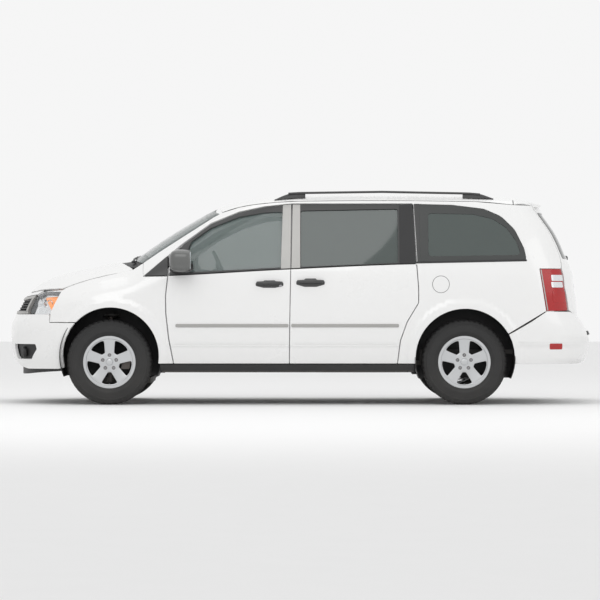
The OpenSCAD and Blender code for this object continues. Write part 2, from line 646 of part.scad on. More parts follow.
// The disc's two faces, and the running clearance of the caliper round it
disc_out = -10;
disc_in = -34;
disc_gap = 6;
spoke_w = 82;
module rim() {
    half = tyre_w / 2;
    color("silver") {
        rotate_extrude() polygon([[rim_r - 16, -half + 12], [rim_r + 14, -half + 12], [rim_r + 14, -half + 20],
            [rim_r, -half + 24], [rim_r - 14, 0], [rim_r, half - 24], [rim_r + 14, half - 18],
            [rim_r + 14, half - 10], [rim_r - 6, half - 10], [rim_r - 22, half - 40], [rim_r - 22, 0]]);
        difference() {
            union() {
                for (k = [0:4]) rotate([0, 0, 90 + 72 * k]) translate([40, -spoke_w / 2, hub_face + 6])
                    cube([rim_r - 58, spoke_w, 30]);
                translate([0, 0, hub_face - 10]) cylinder(r = 75, h = 44);
                rotate_extrude() polygon([[0, hub_face - 12], [0, hub_face], [80, hub_face], [80, disc_out],
                    [disc_r, disc_out], [disc_r, disc_in], [68, disc_in], [68, hub_face - 12]]);
                translate([0, 0, -36]) cylinder(r = spindle_r + 12, h = hub_face + 30);
            }
            translate([0, 0, -60]) cylinder(r = spindle_r + running, h = 60 + hub_face + 12);
        }
    }
}
module tyre() {
    half = tyre_w / 2;
    color([0.1, 0.1, 0.1]) rotate_extrude() polygon([[rim_r + 14 + seat, -half + 12], [rim_r + 60, -half],
        [tyre_r - 40, -half + 3], [tyre_r - 8, -half + 22], [tyre_r, -half + 45], [tyre_r, half - 45],
        [tyre_r - 8, half - 22], [tyre_r - 40, half - 3], [rim_r + 60, half], [rim_r + 14 + seat, half - 10],
        [rim_r + 14 + seat, half - 18 - seat], [rim_r + seat, half - 24 - seat], [rim_r - 14 + 2 * seat, 0],
        [rim_r + seat, -half + 24 + seat], [rim_r + 14 + seat, -half + 20 + seat]]);
}
module spindle() {
    translate([0, 0, -70]) cylinder(r = spindle_r, h = 70 + hub_face);
    translate([0, 0, -95]) cylinder(r = 55, h = 45);
}
module knuckle() {
    color("dimgray") {
        at_hub(front_x, -1) spindle();
        caliper(front_x, -1);
        kingpin_part();
    }
}
module caliper(x, side) {
    difference() {
        translate([x, side * wheel_y, tyre_r]) rotate([90, 0, 0]) translate([0, 0, -70]) intersection() {
            difference() {
                cylinder(r = disc_r + 24, h = 84);
                translate([0, 0, -1]) cylinder(r = disc_r - 45, h = 90);
            }
            translate([disc_r - 60, -60, -5]) cube([100, 120, 90]);
        }
        translate([x, side * wheel_y, tyre_r]) rotate([90, 0, 0]) translate([0, 0, disc_in - disc_gap])
            cylinder(r = disc_r + disc_gap, h = disc_out - disc_in + 2 * disc_gap);
    }
    translate([x, side * wheel_y, tyre_r]) rotate([90, 0, 0]) translate([0, 0, -94]) translate([40, -22, 0])
        cube([disc_r - 50, 44, 26]);
}
// The part of a knuckle along its kingpin line: ball joint lug, carrier and strut
module kingpin_part() {
    at_kingpin() {
        cylinder(r = 24, h = 100);
        translate([0, 0, 90]) cylinder(r = 30, h = 150);
        translate([0, 0, 220]) cylinder(r = 26, h = strut_top - 220);
        translate([0, 0, 470]) cylinder(r = 40, h = 12);
    }
}
module left_knuckle() { knuckle(); }
// Tower on each front rail that holds the top of a strut
module strut_mount() {
    color("dimgray") both_sides() {
        at_kingpin() translate([0, 0, strut_top + seat]) cylinder(r = 70, h = 14);
        box(front_x - 60, front_x + 60, -600, -400, strut_mount_z, strut_mount_z + 20);
        box(front_x - 60, front_x + 60, -430, -400, sz(560), strut_mount_z + 10);
    }
}
strut_mount_z = kingpin_low_z + strut_top * cos(kingpin_lean) + 8;
module rear_axle() {
    color("dimgray") {
        box(rear_x - 170, rear_x - 110, -600, 600, 300, 370);
        both_sides() {
            box(rear_x - 330, rear_x + 40, -640, -570, 310, 370);
            box(rear_x - 35, rear_x + 35, -762, -560, 325, 400);
            at_hub(rear_x, -1) translate([0, 0, -70]) cylinder(r = spindle_r, h = 70 + hub_face);
            translate([rear_x - 60, -605, 365]) cylinder(r = 45, h = rear_floor_z - 365 - seat);
            box(rear_x - 330, rear_x - 270, -640, -570, 310, rear_floor_z - seat);
        }
    }
}
module fuel_tank() { color("black") box(sx(120), sx(820), -620, 60, 215, floor_z - seat); }
exhaust_r = 28;
exhaust_y = 200;
exhaust_z = 270;
// Round bar or pipe from one point to another, with a ball end
module pipe(a, b, r) {
    d = b - a;
    translate(a) rotate([0, acos(d[2] / norm(d)), atan2(d[1], d[0])]) cylinder(r = r, h = norm(d));
    translate(b) sphere(r = r + 2);
}
module exhaust() {
    color("silver") {
        pipe([engine_back + seat, exhaust_y, 400], [engine_back + 40, exhaust_y, 400], exhaust_r);
        pipe([engine_back + 40, exhaust_y, 400], [sx(-1165), exhaust_y, exhaust_z], exhaust_r);
        pipe([sx(-1165), exhaust_y, exhaust_z], [sx(1840), exhaust_y, exhaust_z], exhaust_r);
        translate([sx(1840), 0, exhaust_z + 30]) rotate([0, 90, 0]) hull() {
            translate([0, -160, 0]) cylinder(r = 75, h = 330);
            translate([0, 260, 0]) cylinder(r = 75, h = 330);
        }
    }
}
rail_y = 690 * ky;
// Feet stand on a thin pad that clears the roof's crown
rail_seat = 0.8;
rail_x0 = sx(-219);
rail_x1 = sx(1656);
module rail_foot(x) {
    slope = atan((skin_top(x, rail_y - 20) - skin_top(x, rail_y + 20)) / 40);
    pitch = atan((skin_top(x + 100, rail_y) - skin_top(x - 100, rail_y)) / 200);
    translate([x, -rail_y, skin_top(x, rail_y) + rail_seat]) rotate([slope, -pitch, 0]) rotate([90, 0, 0])
        translate([0, 0, -20]) linear_extrude(40) children();
}
module roof_rails() {
    color([0.1, 0.1, 0.1]) both_sides() {
        rail_foot((rail_x0 + sx(40)) / 2)
            polygon([[-128, 0], [-70, 26], [-20, 42], [60, 44], [110, 20], [128, 0]]);
        rail_foot((rail_x1 + sx(1392)) / 2)
            polygon([[-128, 0], [-110, 20], [-60, 44], [20, 42], [70, 26], [128, 0]]);
        translate([rail_x0 + 130, -rail_y - 10, sz(1803)]) rotate([0, 90, 0])
            cylinder(r = 11, h = rail_x1 - rail_x0 - 260);
    }
}
module dashboard() {
    color([0.25, 0.27, 0.27]) rotate([90, 0, 0]) translate([0, 0, -760 * ky]) linear_extrude(1520 * ky)
        polygon(place([[-1130, 700], [-1130, 1058], [-1000, 1120], [-860, 1110], [-800, 1040], [-830, 850],
            [-900, 700]]));
    color([0.2, 0.2, 0.2]) translate(steer_centre) rotate([0, 64.5, 0]) translate([0, 0, -230])
        cylinder(r = column_r, h = 219);
}
column_r = 12;
steer_centre = [sx(-675), -seat_y, sz(1150)];
module steering_wheel() {
    color([0.15, 0.15, 0.15]) translate(steer_centre) rotate([0, 64.5, 0]) {
        rotate_extrude() translate([steer_r, 0]) circle(r = 15);
        difference() {
            translate([0, 0, -50]) cylinder(r = 70, h = 60);
            translate([0, 0, -60]) cylinder(r = column_r + running, h = 50);
        }
        for (a = [0, 180, 270]) rotate([0, 0, a]) translate([60, -18, -12]) cube([steer_r - 62, 36, 16]);
    }
}
headrest_w = 240;
// A seat from its riser up; z is the underside of its cushion
module chair(x, y, z, w, back_h, riser, rests) {
    translate([x, y, z]) {
        translate([0, -w / 2, 0]) cube([480, w, 130]);
        translate([110, -w / 2 + 60, -riser]) cube([270, w - 120, riser + 10]);
        translate([440, 0, 60]) rotate([0, 14, 0]) {
            translate([0, -w / 2 + 5, 0]) cube([110, w - 10, back_h]);
            for (r = rests) translate([0, r, back_h]) {
                for (side = [-1, 1]) translate([51, side * 60 - 7, -10]) cube([14, 14, 60]);
                translate([15, -headrest_w / 2, 30]) cube([90, headrest_w, 150]);
            }
        }
    }
}
riser = 265;
module row(x) { both_sides() chair(sx(x), -seat_y, floor_z + floor_t + riser + seat, seat_w, 640, riser, [0]); }
module front_seats() { color([0.4, 0.42, 0.4]) row(-590); }
module middle_seats() { color([0.4, 0.42, 0.4]) row(160); }
module rear_bench() {
    color([0.4, 0.42, 0.4])
        chair(sx(1230), 0, rear_floor_z + floor_t + 180 + seat, 1180, 620, 180, [-380, 0, 380]);
}
module left_mirror() {
    color("dimgray") difference() {
        union() {
            translate([sx(-1000), -1065 * ky, sz(1222)]) hull() {
                for (x = [-45, 45], z = [-38, 38]) translate([x, -62, z]) sphere(r = 60, $fn = 12);
                for (x = [-45, 45], z = [-38, 38]) translate([x, 50, z]) sphere(r = 60, $fn = 12);
            }
            translate([sx(-1108), -1040 * ky, sz(1124)]) cube([62, 200, 44]);
        }
        side_slab(sx(-1200), sx(-800), sz(1050), sz(1400), -seat, 300);
    }
}

floor_pan();
firewall();
roof_panel();
left_body_side();
mirror([0, 1, 0]) left_body_side();  // right_body_side
front_fenders();
cowl_panel();
front_bumper();
grille();
headlights();
radiator();
union() { front_rails(); strut_mount(); }
front_subframe();
engine_block();
windshield();
rear_side_glass();
left_sliding_door();
mirror([0, 1, 0]) left_sliding_door();  // right_sliding_door
rear_bumper();
taillights();
roof_rails();
wheel_liners();
rear_axle();
fuel_tank();
exhaust();
dashboard();
front_seats();
middle_seats();
rear_bench();
hood();
liftgate();
liftgate_glass();
fuel_door();
left_front_door();
mirror([0, 1, 0]) left_front_door();  // right_front_door
left_door_glass();
mirror([0, 1, 0]) left_door_glass();  // right_door_glass
left_mirror();
mirror([0, 1, 0]) left_mirror();  // right_mirror
steering_wheel();
left_knuckle();
mirror([0, 1, 0]) left_knuckle();  // right_knuckle
at_hub(front_x, -1) tyre();  // front_left_tyre
at_hub(front_x, 1) tyre();  // front_right_tyre
at_hub(rear_x, -1) tyre();  // rear_left_tyre
at_hub(rear_x, 1) tyre();  // rear_right_tyre
at_hub(front_x, -1) rim();  // front_left_rim
at_hub(front_x, 1) rim();  // front_right_rim
at_hub(rear_x, -1) rim();  // rear_left_rim
at_hub(rear_x, 1) rim();  // rear_right_rim
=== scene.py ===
"""The looks of the minivan, built round its CAD frame.

Every outline and profile is in millimetres on the body's own reference lines: x runs back from the nose,
z up from the ground, and y is the distance from the centre line. Shape.build() turns them into metres.
"""
import math
import bpy
import numpy as np
from mathutils import Matrix, Vector
from mathutils.geometry import delaunay_2d_cdt


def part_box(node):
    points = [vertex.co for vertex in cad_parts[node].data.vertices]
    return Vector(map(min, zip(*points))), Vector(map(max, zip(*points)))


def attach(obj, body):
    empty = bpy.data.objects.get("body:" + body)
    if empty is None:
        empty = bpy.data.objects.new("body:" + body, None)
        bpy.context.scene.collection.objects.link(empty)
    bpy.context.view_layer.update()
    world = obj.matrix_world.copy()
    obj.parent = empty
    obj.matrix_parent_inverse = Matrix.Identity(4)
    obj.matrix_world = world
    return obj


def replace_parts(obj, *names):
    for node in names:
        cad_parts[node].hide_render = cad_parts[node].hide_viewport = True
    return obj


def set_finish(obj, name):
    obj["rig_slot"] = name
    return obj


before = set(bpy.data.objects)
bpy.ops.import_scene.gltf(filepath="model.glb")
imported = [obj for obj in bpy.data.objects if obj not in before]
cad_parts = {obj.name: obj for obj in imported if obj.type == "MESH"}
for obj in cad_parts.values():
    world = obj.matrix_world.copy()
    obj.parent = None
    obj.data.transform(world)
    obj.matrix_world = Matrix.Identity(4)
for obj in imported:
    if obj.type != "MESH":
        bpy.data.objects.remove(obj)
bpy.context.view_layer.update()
MM = 0.001

# ---- places taken from the frame ----


def middle_of(node):
    """Middle of a CAD node's box, in millimetres."""
    low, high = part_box(node)
    return (np.array(low) + np.array(high)) / 2 / MM


FRONT_AXLE = -1619                      # the wheel centres on the reference lines
REAR_AXLE = 1396
SHIFT = middle_of("front_left_tyre")[0] - FRONT_AXLE
WHEEL_Y = -middle_of("front_left_tyre")[1]
TYRE_R = middle_of("front_left_tyre")[2]
FRONT_ARCH = (FRONT_AXLE + 10, 416, 411)
REAR_ARCH = (REAR_AXLE + 5, 396, 420)
SILL_Z = 347
DOOR_TOP = 1712
GAP = 3                                 # half of the gap round a door, as it shows
SKIN = 22                               # thickness of a door's or fender's shell


# ---- the body skin ----


def smooth_line(*points):
    """A curve through (place, value) points that never swings past them."""
    x, y = np.array(sorted(points), float).T
    h = np.diff(x)
    d = np.diff(y) / h
    same = d[:-1] * d[1:] > 0
    w1, w2 = 2 * h[1:] + h[:-1], h[1:] + 2 * h[:-1]
    left, right = np.where(same, d[:-1], 1), np.where(same, d[1:], 1)
    m = np.concatenate([[d[0]], np.where(same, (w1 + w2) / (w1 / left + w2 / right), 0), [d[-1]]])

    def at(t):
        t = np.clip(t, x[0], x[-1])
        i = np.clip(np.searchsorted(x, t, side="right") - 1, 0, len(h) - 1)
        s = (t - x[i]) / h[i]
        start = (1 + 2 * s) * (1 - s) ** 2 * y[i] + s * (1 - s) ** 2 * h[i] * m[i]
        return start + s * s * (3 - 2 * s) * y[i + 1] + s * s * (s - 1) * h[i] * m[i + 1]
    return at


crown = smooth_line((-2376, 947), (-2300, 1017), (-2110, 1106), (-1980, 1142), (-1846, 1171), (-1671, 1206),
                    (-1569, 1223), (-1500, 1230), (-1427, 1249), (-1319, 1327), (-1144, 1445), (-968, 1553),
                    (-792, 1653), (-705, 1696), (-617, 1727), (-440, 1761), (-266, 1785), (0, 1797),
                    (500, 1804), (1100, 1801), (1500, 1794), (1842, 1777), (2089, 1730))
nose = smooth_line((329, -2478), (382, -2496), (434, -2513), (498, -2522), (650, -2521), (694, -2513),
                   (746, -2487), (798, -2469), (850, -2443), (902, -2417), (947, -2376), (1017, -2300))
tail = smooth_line((640, 2408), (798, 2404), (902, 2395), (1006, 2377), (1110, 2366), (1163, 2351),
                   (1215, 2330), (1267, 2305), (1370, 2263), (1475, 2211), (1579, 2140), (1640, 2100),
                   (1700, 2080), (1740, 2060))
rear_bumper_x = smooth_line((290, 2400), (345, 2440), (382, 2480), (485, 2500), (538, 2509), (590, 2509),
                            (620, 2498), (694, 2465), (746, 2430), (798, 2404))
side = smooth_line((240, 890), (347, 930), (470, 949), (498, 951), (515, 957), (690, 965), (900, 958),
                   (1000, 952), (1097, 942), (1205, 920), (1660, 770), (1735, 740), (1804, 705))
shoulder = smooth_line((-2400, 760), (-2000, 840), (-1500, 900), (-1000, 960), (2400, 960))
crown_power = smooth_line((-2400, 1.8), (-1900, 1.8), (-1569, 2), (-1343, 2.6), (-1000, 4), (-667, 8),
                          (-400, 20), (0, 46), (2400, 46))
drip = smooth_line((-705, 1625), (-667, 1642), (-520, 1687), (-400, 1708), (-200, 1727), (-69, 1735),
                   (600, 1742), (1500, 1733), (1822, 1705))
belt = smooth_line((-1330, 1090), (-1121, 1097), (-153, 1150), (835, 1194), (1933, 1218))
NOSE_START, TAIL_START = -1500, 1500
NOSE_POWER, TAIL_POWER, SIDE_POWER, CORNER_POWER = 2.6, 5, 2.8, 3.74
FLARE_OUT, FLARE_REACH, FLARE_FADE, FLARE_TOP = 14, 95, 45, 990


def clipped(r, power):
    """A rounded fall from 1 at r = 0 to 0 at r = 1."""
    return 1 - np.clip(r, 0, 1) ** power


def flare(x, z):
    """The raised lip round both wheel arches: it fades outward, and upward below the shoulder line."""
    out = np.zeros_like(np.asarray(x, float))
    for cx, cz, r in (FRONT_ARCH, REAR_ARCH):
        near = np.clip((FLARE_REACH - (np.hypot(x - cx, z - cz) - r)) / FLARE_FADE, 0, 1)
        out = np.maximum(out, FLARE_OUT * near * near * (3 - 2 * near))
    return out * np.clip((FLARE_TOP - z) / 120, 0, 1)


def half_width(x, z):
    """Distance of the skin from the centre line, over a place of the side view."""
    top = clipped((z - shoulder(x)) / (crown(x) - shoulder(x)), crown_power(x))
    front = clipped((NOSE_START - x) / (NOSE_START - nose(z)), NOSE_POWER)
    back = clipped((x - TAIL_START) / (tail(z) - TAIL_START), TAIL_POWER)
    return side(z) * (top * front) ** (1 / SIDE_POWER) * back ** (1 / CORNER_POWER) + flare(x, z)


def halved(low, high, beyond, turns=26):
    """The place between low and high where beyond() turns false, found by halving."""
    low, high = np.array(low, float), np.array(high, float)
    for _ in range(turns):
        mid = (low + high) / 2
        yes = beyond(mid)
        low, high = np.where(yes, mid, low), np.where(yes, high, mid)
    return (low + high) / 2


def skin_top(x, y):
    """Height of the skin over a place of the plan."""
    return halved(shoulder(x) + 0 * y, crown(x) + 0 * y, lambda z: half_width(x, z) > np.abs(y))


def back_x(y, z):
    """Length position of the tail at a place of the end view."""
    return halved(TAIL_START + 0 * y, 2560 + 0 * y, lambda x: half_width(x, z) > np.abs(y))


def front_x(y, z):
    """Length position of the nose and windshield at a place of the end view."""
    return halved(-300 + 0 * y, -2600 + 0 * y, lambda x: half_width(x, z) > np.abs(y))


def value_at(measure, u, v):
    """What one of the measures above gives at one place."""
    return float(measure(np.array([float(u)]), np.array([float(v)]))[0])


def on_side(x, z):
    return np.stack([x, -half_width(x, z), z], 1)


def on_top(x, y):
    return np.stack([x, y, skin_top(x, y)], 1)


def on_back(y, z):
    return np.stack([back_x(y, z), y, z], 1)


def on_front(y, z):
    return np.stack([front_x(y, z), y, z], 1)


def roof_edge(x):
    return half_width(x, drip(x))


def on_roof(x, v):
    """The roof over x, where v runs from -800 to 800 between its two edges."""
    y = roof_edge(x) * np.sin(np.pi / 2 * v / 800)
    return np.stack([x, y, np.where(np.abs(v) > 799.9, drip(x), skin_top(x, y))], 1)


class Wrap:
    """A bumper's surface: s runs round its plan line from the middle to the sides, in millimetres."""

    def __init__(self, start, end_line, end_power, corner):
        self.start, self.end, self.end_power, self.corner = start, end_line, end_power, corner
        self.angles = np.linspace(0, math.pi / 2, 400)
        points = self.plan(self.angles, np.full(400, 560.0))
        self.lengths = np.concatenate([[0], np.cumsum(np.hypot(*np.diff(points[:, :2], axis=0).T))])

    def plan(self, a, z):
        x = self.start + (self.end(z) - self.start) * np.cos(a) ** (2 / self.end_power)
        y = side(z) * np.sin(a) ** (2 / self.corner) + flare(x, z)
        return np.stack([x, y, z], 1)

    def __call__(self, s, z):
        p = self.plan(np.interp(np.abs(s), self.lengths, self.angles), z)
        p[:, 1] *= np.where(s < 0, -1, 1)
        return p

    def s_at(self, x, z):
        """s of a point of the side view, on the right side."""
        r = np.clip((x - self.start) / (self.end(z) - self.start), 0, 1)
        return float(np.interp(np.arccos(r ** (self.end_power / 2)), self.angles, self.lengths))

    def s_at_y(self, y, z):
        """s of a point of the end view."""
        a = np.arcsin(np.clip(y / side(z), 0, 1) ** (self.corner / 2))
        return float(np.interp(a, self.angles, self.lengths))


on_nose = Wrap(NOSE_START, nose, NOSE_POWER, SIDE_POWER)
on_tail = Wrap(TAIL_START, rear_bumper_x, TAIL_POWER, CORNER_POWER)


# ---- outlines ----


def rounded(points, radius=10, step=24):
    """A closed outline with rounded corners and points at most step apart. A point may hold its radius."""
    out = []
    pts = [np.array(p[:2], float) for p in points]
    n = len(pts)
    for i, p in enumerate(pts):
        r = points[i][2] if len(points[i]) > 2 else radius
        before, after = pts[i - 1] - p, pts[(i + 1) % n] - p
        lb, la = np.linalg.norm(before), np.linalg.norm(after)
        half = math.acos(max(-1, min(1, float(before @ after) / (lb * la)))) / 2
        cut = min(r / max(math.tan(half), 1e-3), 0.45 * lb, 0.45 * la)
        if cut < 0.5:
            out.append(p)
            continue
        a, b = p + before / lb * cut, p + after / la * cut
        turns = max(2, int(math.ceil((math.pi - 2 * half) / 0.26)))
        out += [(1 - t) ** 2 * a + 2 * t * (1 - t) * p + t * t * b for t in np.linspace(0, 1, turns + 1)]
    full = []
    for a, b in zip(out, out[1:] + out[:1]):
        k = max(1, int(math.ceil(np.linalg.norm(b - a) / step)))
        full += [a + (b - a) * j / k for j in range(k)]
    return np.array([p for p, q in zip(full, full[1:] + full[:1]) if np.linalg.norm(q - p) > 0.05])


def area(loop):
    """An outline's area, positive where it runs anticlockwise."""
    x, y = loop.T
    return 0.5 * float(np.sum(x * np.roll(y, -1) - np.roll(x, -1) * y))


def as_outer(loop):
    """The outline run anticlockwise."""
    return loop if area(loop) > 0 else loop[::-1]


def round_angles(n):
    """n equal steps round a circle."""
    return np.linspace(0, 2 * math.pi, n + 1)[:-1]


def circle(radius, n, centre=(0, 0)):
    return np.array([(centre[0] + radius * math.cos(a), centre[1] + radius * math.sin(a))
                     for a in round_angles(n)])


def oblong(x0, x1, y0, y1):
    return [(x0, y0), (x1, y0), (x1, y1), (x0, y1)]


def mirrored(points):
    """Points of the end view on the other side of the centre line, in the order that closes an outline."""
    return [(-p[0], *p[1:]) for p in reversed(points)]


def plan_mirrored(points):
    """The same for points of the plan."""
    return [(x, -y) for x, y in reversed(points)]


def two_sided(half):
    """A whole outline of the end view from its half at y over 0, running up."""
    return list(half) + mirrored(half)


def inset(loop, d):
    """The outline moved by d to the left of its own direction: into the material."""
    edge = np.roll(loop, -1, 0) - loop
    normal = np.stack([-edge[:, 1], edge[:, 0]], 1) / np.linalg.norm(edge, axis=1)[:, None]
    corner = normal + np.roll(normal, 1, 0)
    corner /= np.linalg.norm(corner, axis=1)[:, None]
    lean = np.clip(np.sum(corner * normal, 1), 0.5, 1)
    return loop + corner * (d / lean)[:, None]


def is_inside(points, loops):
    """Which points are inside an odd number of the outlines."""
    x, y = points[:, :1], points[:, 1:]
    inside = np.zeros(len(points), bool)
    for loop in loops:
        x0, y0 = loop.T
        x1, y1 = np.roll(loop, -1, 0).T
        crosses = (y0 > y) != (y1 > y)
        at = x0 + (y - y0) * (x1 - x0) / np.where(y1 == y0, 1e-9, y1 - y0)
        inside ^= (np.sum(crosses & (x < at), 1) % 2).astype(bool)
    return inside


def filled(loops, step):
    """Triangles that fill the outlines: (points, faces, place of each outline point in points)."""
    rim_points = np.concatenate(loops)
    low, high = rim_points.min(0), rim_points.max(0)
    us = np.arange(low[0] + step / 2, high[0], step)
    vs = np.arange(low[1] + step / 2, high[1], step)
    grid = np.array([(u + (step / 2 if j % 2 else 0), v) for j, v in enumerate(vs) for u in us])
    if len(grid):
        far = np.array([np.min(np.hypot(*(rim_points - g).T)) for g in grid]) > 0.55 * step
        grid = grid[far]
        grid = grid[is_inside(grid, loops)] if len(grid) else grid
    points = np.concatenate([rim_points, grid]) if len(grid) else rim_points
    edges, start = [], 0
    for loop in loops:
        edges += [(start + i, start + (i + 1) % len(loop)) for i in range(len(loop))]
        start += len(loop)
    verts, _, faces, sources, _, _ = delaunay_2d_cdt([Vector(p) for p in points], edges, [], 0, 1e-4)
    verts = np.array([tuple(v) for v in verts])
    faces = np.array([f for f in faces if len(f) == 3])
    faces = faces[is_inside(verts[faces].mean(1), loops)]
    place = np.zeros(len(points), int)
    for i, source in enumerate(sources):
        for s in source:
            place[s] = i
    return verts, faces, place[:len(rim_points)]


# ---- shapes ----


class Shape:
    """Points in millimetres and faces, with a normal for each face corner where the skin gives one."""

    def __init__(self, points, faces, normals=None):
        self.points = np.array(points, float).reshape(-1, 3)
        self.faces = [tuple(int(i) for i in f) for f in faces]
        self.normals = normals

    def mirrored(self):
        """The same shape on the other side of the centre line."""
        flip = np.array([1, -1, 1])
        normals = [list(reversed([n * flip for n in face]))
                   for face in self.normals] if self.normals else None
        return Shape(self.points * flip, [f[::-1] for f in self.faces], normals)

    def placed(self, matrix):
        m = np.array(matrix)
        turn = m[:3, :3]
        normals = [[turn @ n for n in face] for face in self.normals] if self.normals else None
        return Shape(self.points @ turn.T + m[:3, 3], self.faces, normals)

    def moved(self, x=0, y=0, z=0):
        return self.placed(Matrix.Translation((x, y, z)))

    def build(self, name, body, slot, material, sharp=38):
        """The shape as a piece that rides a body, in metres."""
        mesh = bpy.data.meshes.new(name)
        mesh.from_pydata(((self.points + [SHIFT, 0, 0]) * MM).tolist(), [], self.faces)
        mesh.polygons.foreach_set("use_smooth", [True] * len(self.faces))
        mesh.materials.append(material)
        if self.normals:
            mesh.normals_split_custom_set([tuple(n) for face in self.normals for n in face])
        else:
            mesh.set_sharp_from_angle(angle=math.radians(sharp))
        piece = bpy.data.objects.new(name, mesh)
        bpy.context.collection.objects.link(piece)
        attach(piece, body)
        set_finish(piece, slot)
        return piece


SIDEWAYS = Matrix.Rotation(math.pi / 2, 4, "X")      # turns a shape's top to the left
BACKWARD = Matrix.Rotation(math.pi / 2, 4, "Y")      # and to the rear


def outward(points, faces):
    """A closed shape with its faces turned to the outside."""
    shape = Shape(points, faces)
    p = shape.points - shape.points.mean(0)
    volume = sum(p[f[0]] @ np.cross(p[f[i]], p[f[i + 1]]) for f in shape.faces for i in range(1, len(f) - 1))
    return shape if volume >= 0 else Shape(points, [f[::-1] for f in shape.faces])


def together(shapes):
    """Several shapes as one."""
    points, faces, normals = [], [], []
    count = 0
    for s in shapes:
        points.append(s.points)
        faces += [tuple(i + count for i in f) for f in s.faces]
        normals = normals + s.normals if s.normals is not None and normals is not None else None
        count += len(s.points)
    return Shape(np.concatenate(points), faces, normals)


def skin_normals(surface, uv):
    """Outward normals of a surface at its own coordinates."""
    h = 1.5
    u, v = uv.T
    du = surface(u + h, v) - surface(u - h, v)
    dv = surface(u, v + h) - surface(u, v - h)
    n = np.cross(du, dv)
    length = np.linalg.norm(n, axis=1)
    n = np.where(length[:, None] > 1e-9, n / np.maximum(length, 1e-9)[:, None], [0, 0, 1])
    p = surface(u, v)
    core = np.stack([np.clip(p[:, 0], -1300, 1300), 0 * u, np.clip(p[:, 2], 600, 900)], 1)
    return n * np.sign(np.sum(n * (p - core), 1))[:, None]


def panel(outlines, surface, thick=SKIN, lift=0, edge=4, step=34, normals_of=skin_normals):
    """A closed sheet on a surface: outlines are its edge and its holes, edge is the radius of its rounded
    rim, and lift raises it off the surface."""
    loops = [loop if (area(loop) > 0) == (i == 0) else loop[::-1] for i, loop in enumerate(outlines)]
    uv, tris, rim = filled([inset(loop, edge) for loop in loops], step)
    normal = normals_of(surface, uv)
    outer = surface(*uv.T) + normal * lift
    full = np.concatenate(loops)
    full_normal = normals_of(surface, full)
    full_point = surface(*full.T) + full_normal * lift
    away = full_point - outer[rim]
    away -= full_normal * np.sum(away * full_normal, 1)[:, None]
    away /= np.maximum(np.linalg.norm(away, axis=1), 1e-6)[:, None]
    soft = 1 - math.sin(math.radians(45))
    between = np.concatenate([inset(loop, edge * soft) for loop in loops])
    row1 = surface(*between.T) + full_normal * (lift - edge * soft)
    row2 = full_point - full_normal * edge
    row3 = full_point - full_normal * thick
    inner = outer - normal * thick
    inner[rim] = row3
    n, m = len(uv), len(full)
    points = np.concatenate([outer, row1, row2, inner])
    a, b, c = (outer[tris[:, i]] for i in range(3))
    turned = float(np.sum(np.cross(b - a, c - a) * normal[tris[:, 0]])) < 0
    if turned:
        tris = tris[:, ::-1]
    inner_at = n + 2 * m
    slant = (normal[rim] + away) / math.sqrt(2)
    faces = [tuple(t) for t in tris]
    normals = [[normal[i] for i in t] for t in tris]
    faces += [tuple(i + inner_at for i in t[::-1]) for t in tris]
    normals += [[-normal[i] for i in t[::-1]] for t in tris]
    start = 0
    rows = [(lambda i: rim[i], normal[rim]), (lambda i: n + i, slant), (lambda i: n + m + i, away),
            (lambda i: inner_at + rim[i], away)]
    for loop in loops:
        for k in range(len(loop)):
            i, j = start + k, start + (k + 1) % len(loop)
            for (top, top_n), (low, low_n) in zip(rows, rows[1:]):
                face = [top(j), top(i), low(i), low(j)]
                corner = [top_n[j], top_n[i], low_n[i], low_n[j]]
                faces.append(tuple(face[::-1] if turned else face))
                normals.append(corner[::-1] if turned else corner)
        start += len(loop)
    return Shape(points, faces, normals)


def prism(loop, low, high, bevel=3):
    """An outline in x and y, carried from low to high with rounded edges."""
    loop = as_outer(loop)
    rows = []
    for d, z in ((bevel, low), (bevel * 0.3, low + bevel * 0.3), (0, low + bevel), (0, high - bevel),
                 (bevel * 0.3, high - bevel * 0.3), (bevel, high)):
        rows.append(np.column_stack([inset(loop, d) if d else loop, np.full(len(loop), z)]))
    n = len(loop)
    points = np.concatenate(rows)
    faces = []
    for r in range(5):
        faces += [(r * n + i, r * n + (i + 1) % n, (r + 1) * n + (i + 1) % n, (r + 1) * n + i)
                  for i in range(n)]
    faces += [tuple(range(n - 1, -1, -1)), tuple(range(5 * n, 6 * n))]
    return outward(points, faces)


def block(x0, x1, y0, y1, z0, z1, radius=8, bevel=4):
    """A box with rounded edges."""
    return prism(rounded(oblong(x0, x1, y0, y1), radius, 400), z0, z1, bevel)


def lathe(profile, n=96, closed=True, wave=None):
    """A profile of (radius, height) points turned about Z. wave(i, j) is added to the radius of point j in
    column i."""
    profile = np.array(profile, float)
    m = len(profile)
    points = []
    for i, a in enumerate(round_angles(n)):
        for j, (r, h) in enumerate(profile):
            r = r + (wave(i, j) if wave else 0)
            points.append((r * math.cos(a), r * math.sin(a), h))
    faces = []
    for i in range(n):
        beside = (i + 1) % n
        for j in range(m if closed else m - 1):
            over = (j + 1) % m
            faces.append((i * m + j, beside * m + j, beside * m + over, i * m + over))
    if not closed:
        faces += [tuple(i * m for i in range(n - 1, -1, -1)), tuple(i * m + m - 1 for i in range(n))]
    return outward(points, faces)


def rings(sections, closed=False):
    """A skin over closed sections of the same number of points, with flat ends."""
    n = len(sections[0])
    points = np.concatenate([np.array(s, float) for s in sections])
    count = len(sections)
    faces = []
    for r in range(count if closed else count - 1):
        q = (r + 1) % count
        faces += [(r * n + i, r * n + (i + 1) % n, q * n + (i + 1) % n, q * n + i) for i in range(n)]
    if not closed:
        faces += [tuple(range(n - 1, -1, -1)), tuple((count - 1) * n + i for i in range(n))]
    return outward(points, faces)


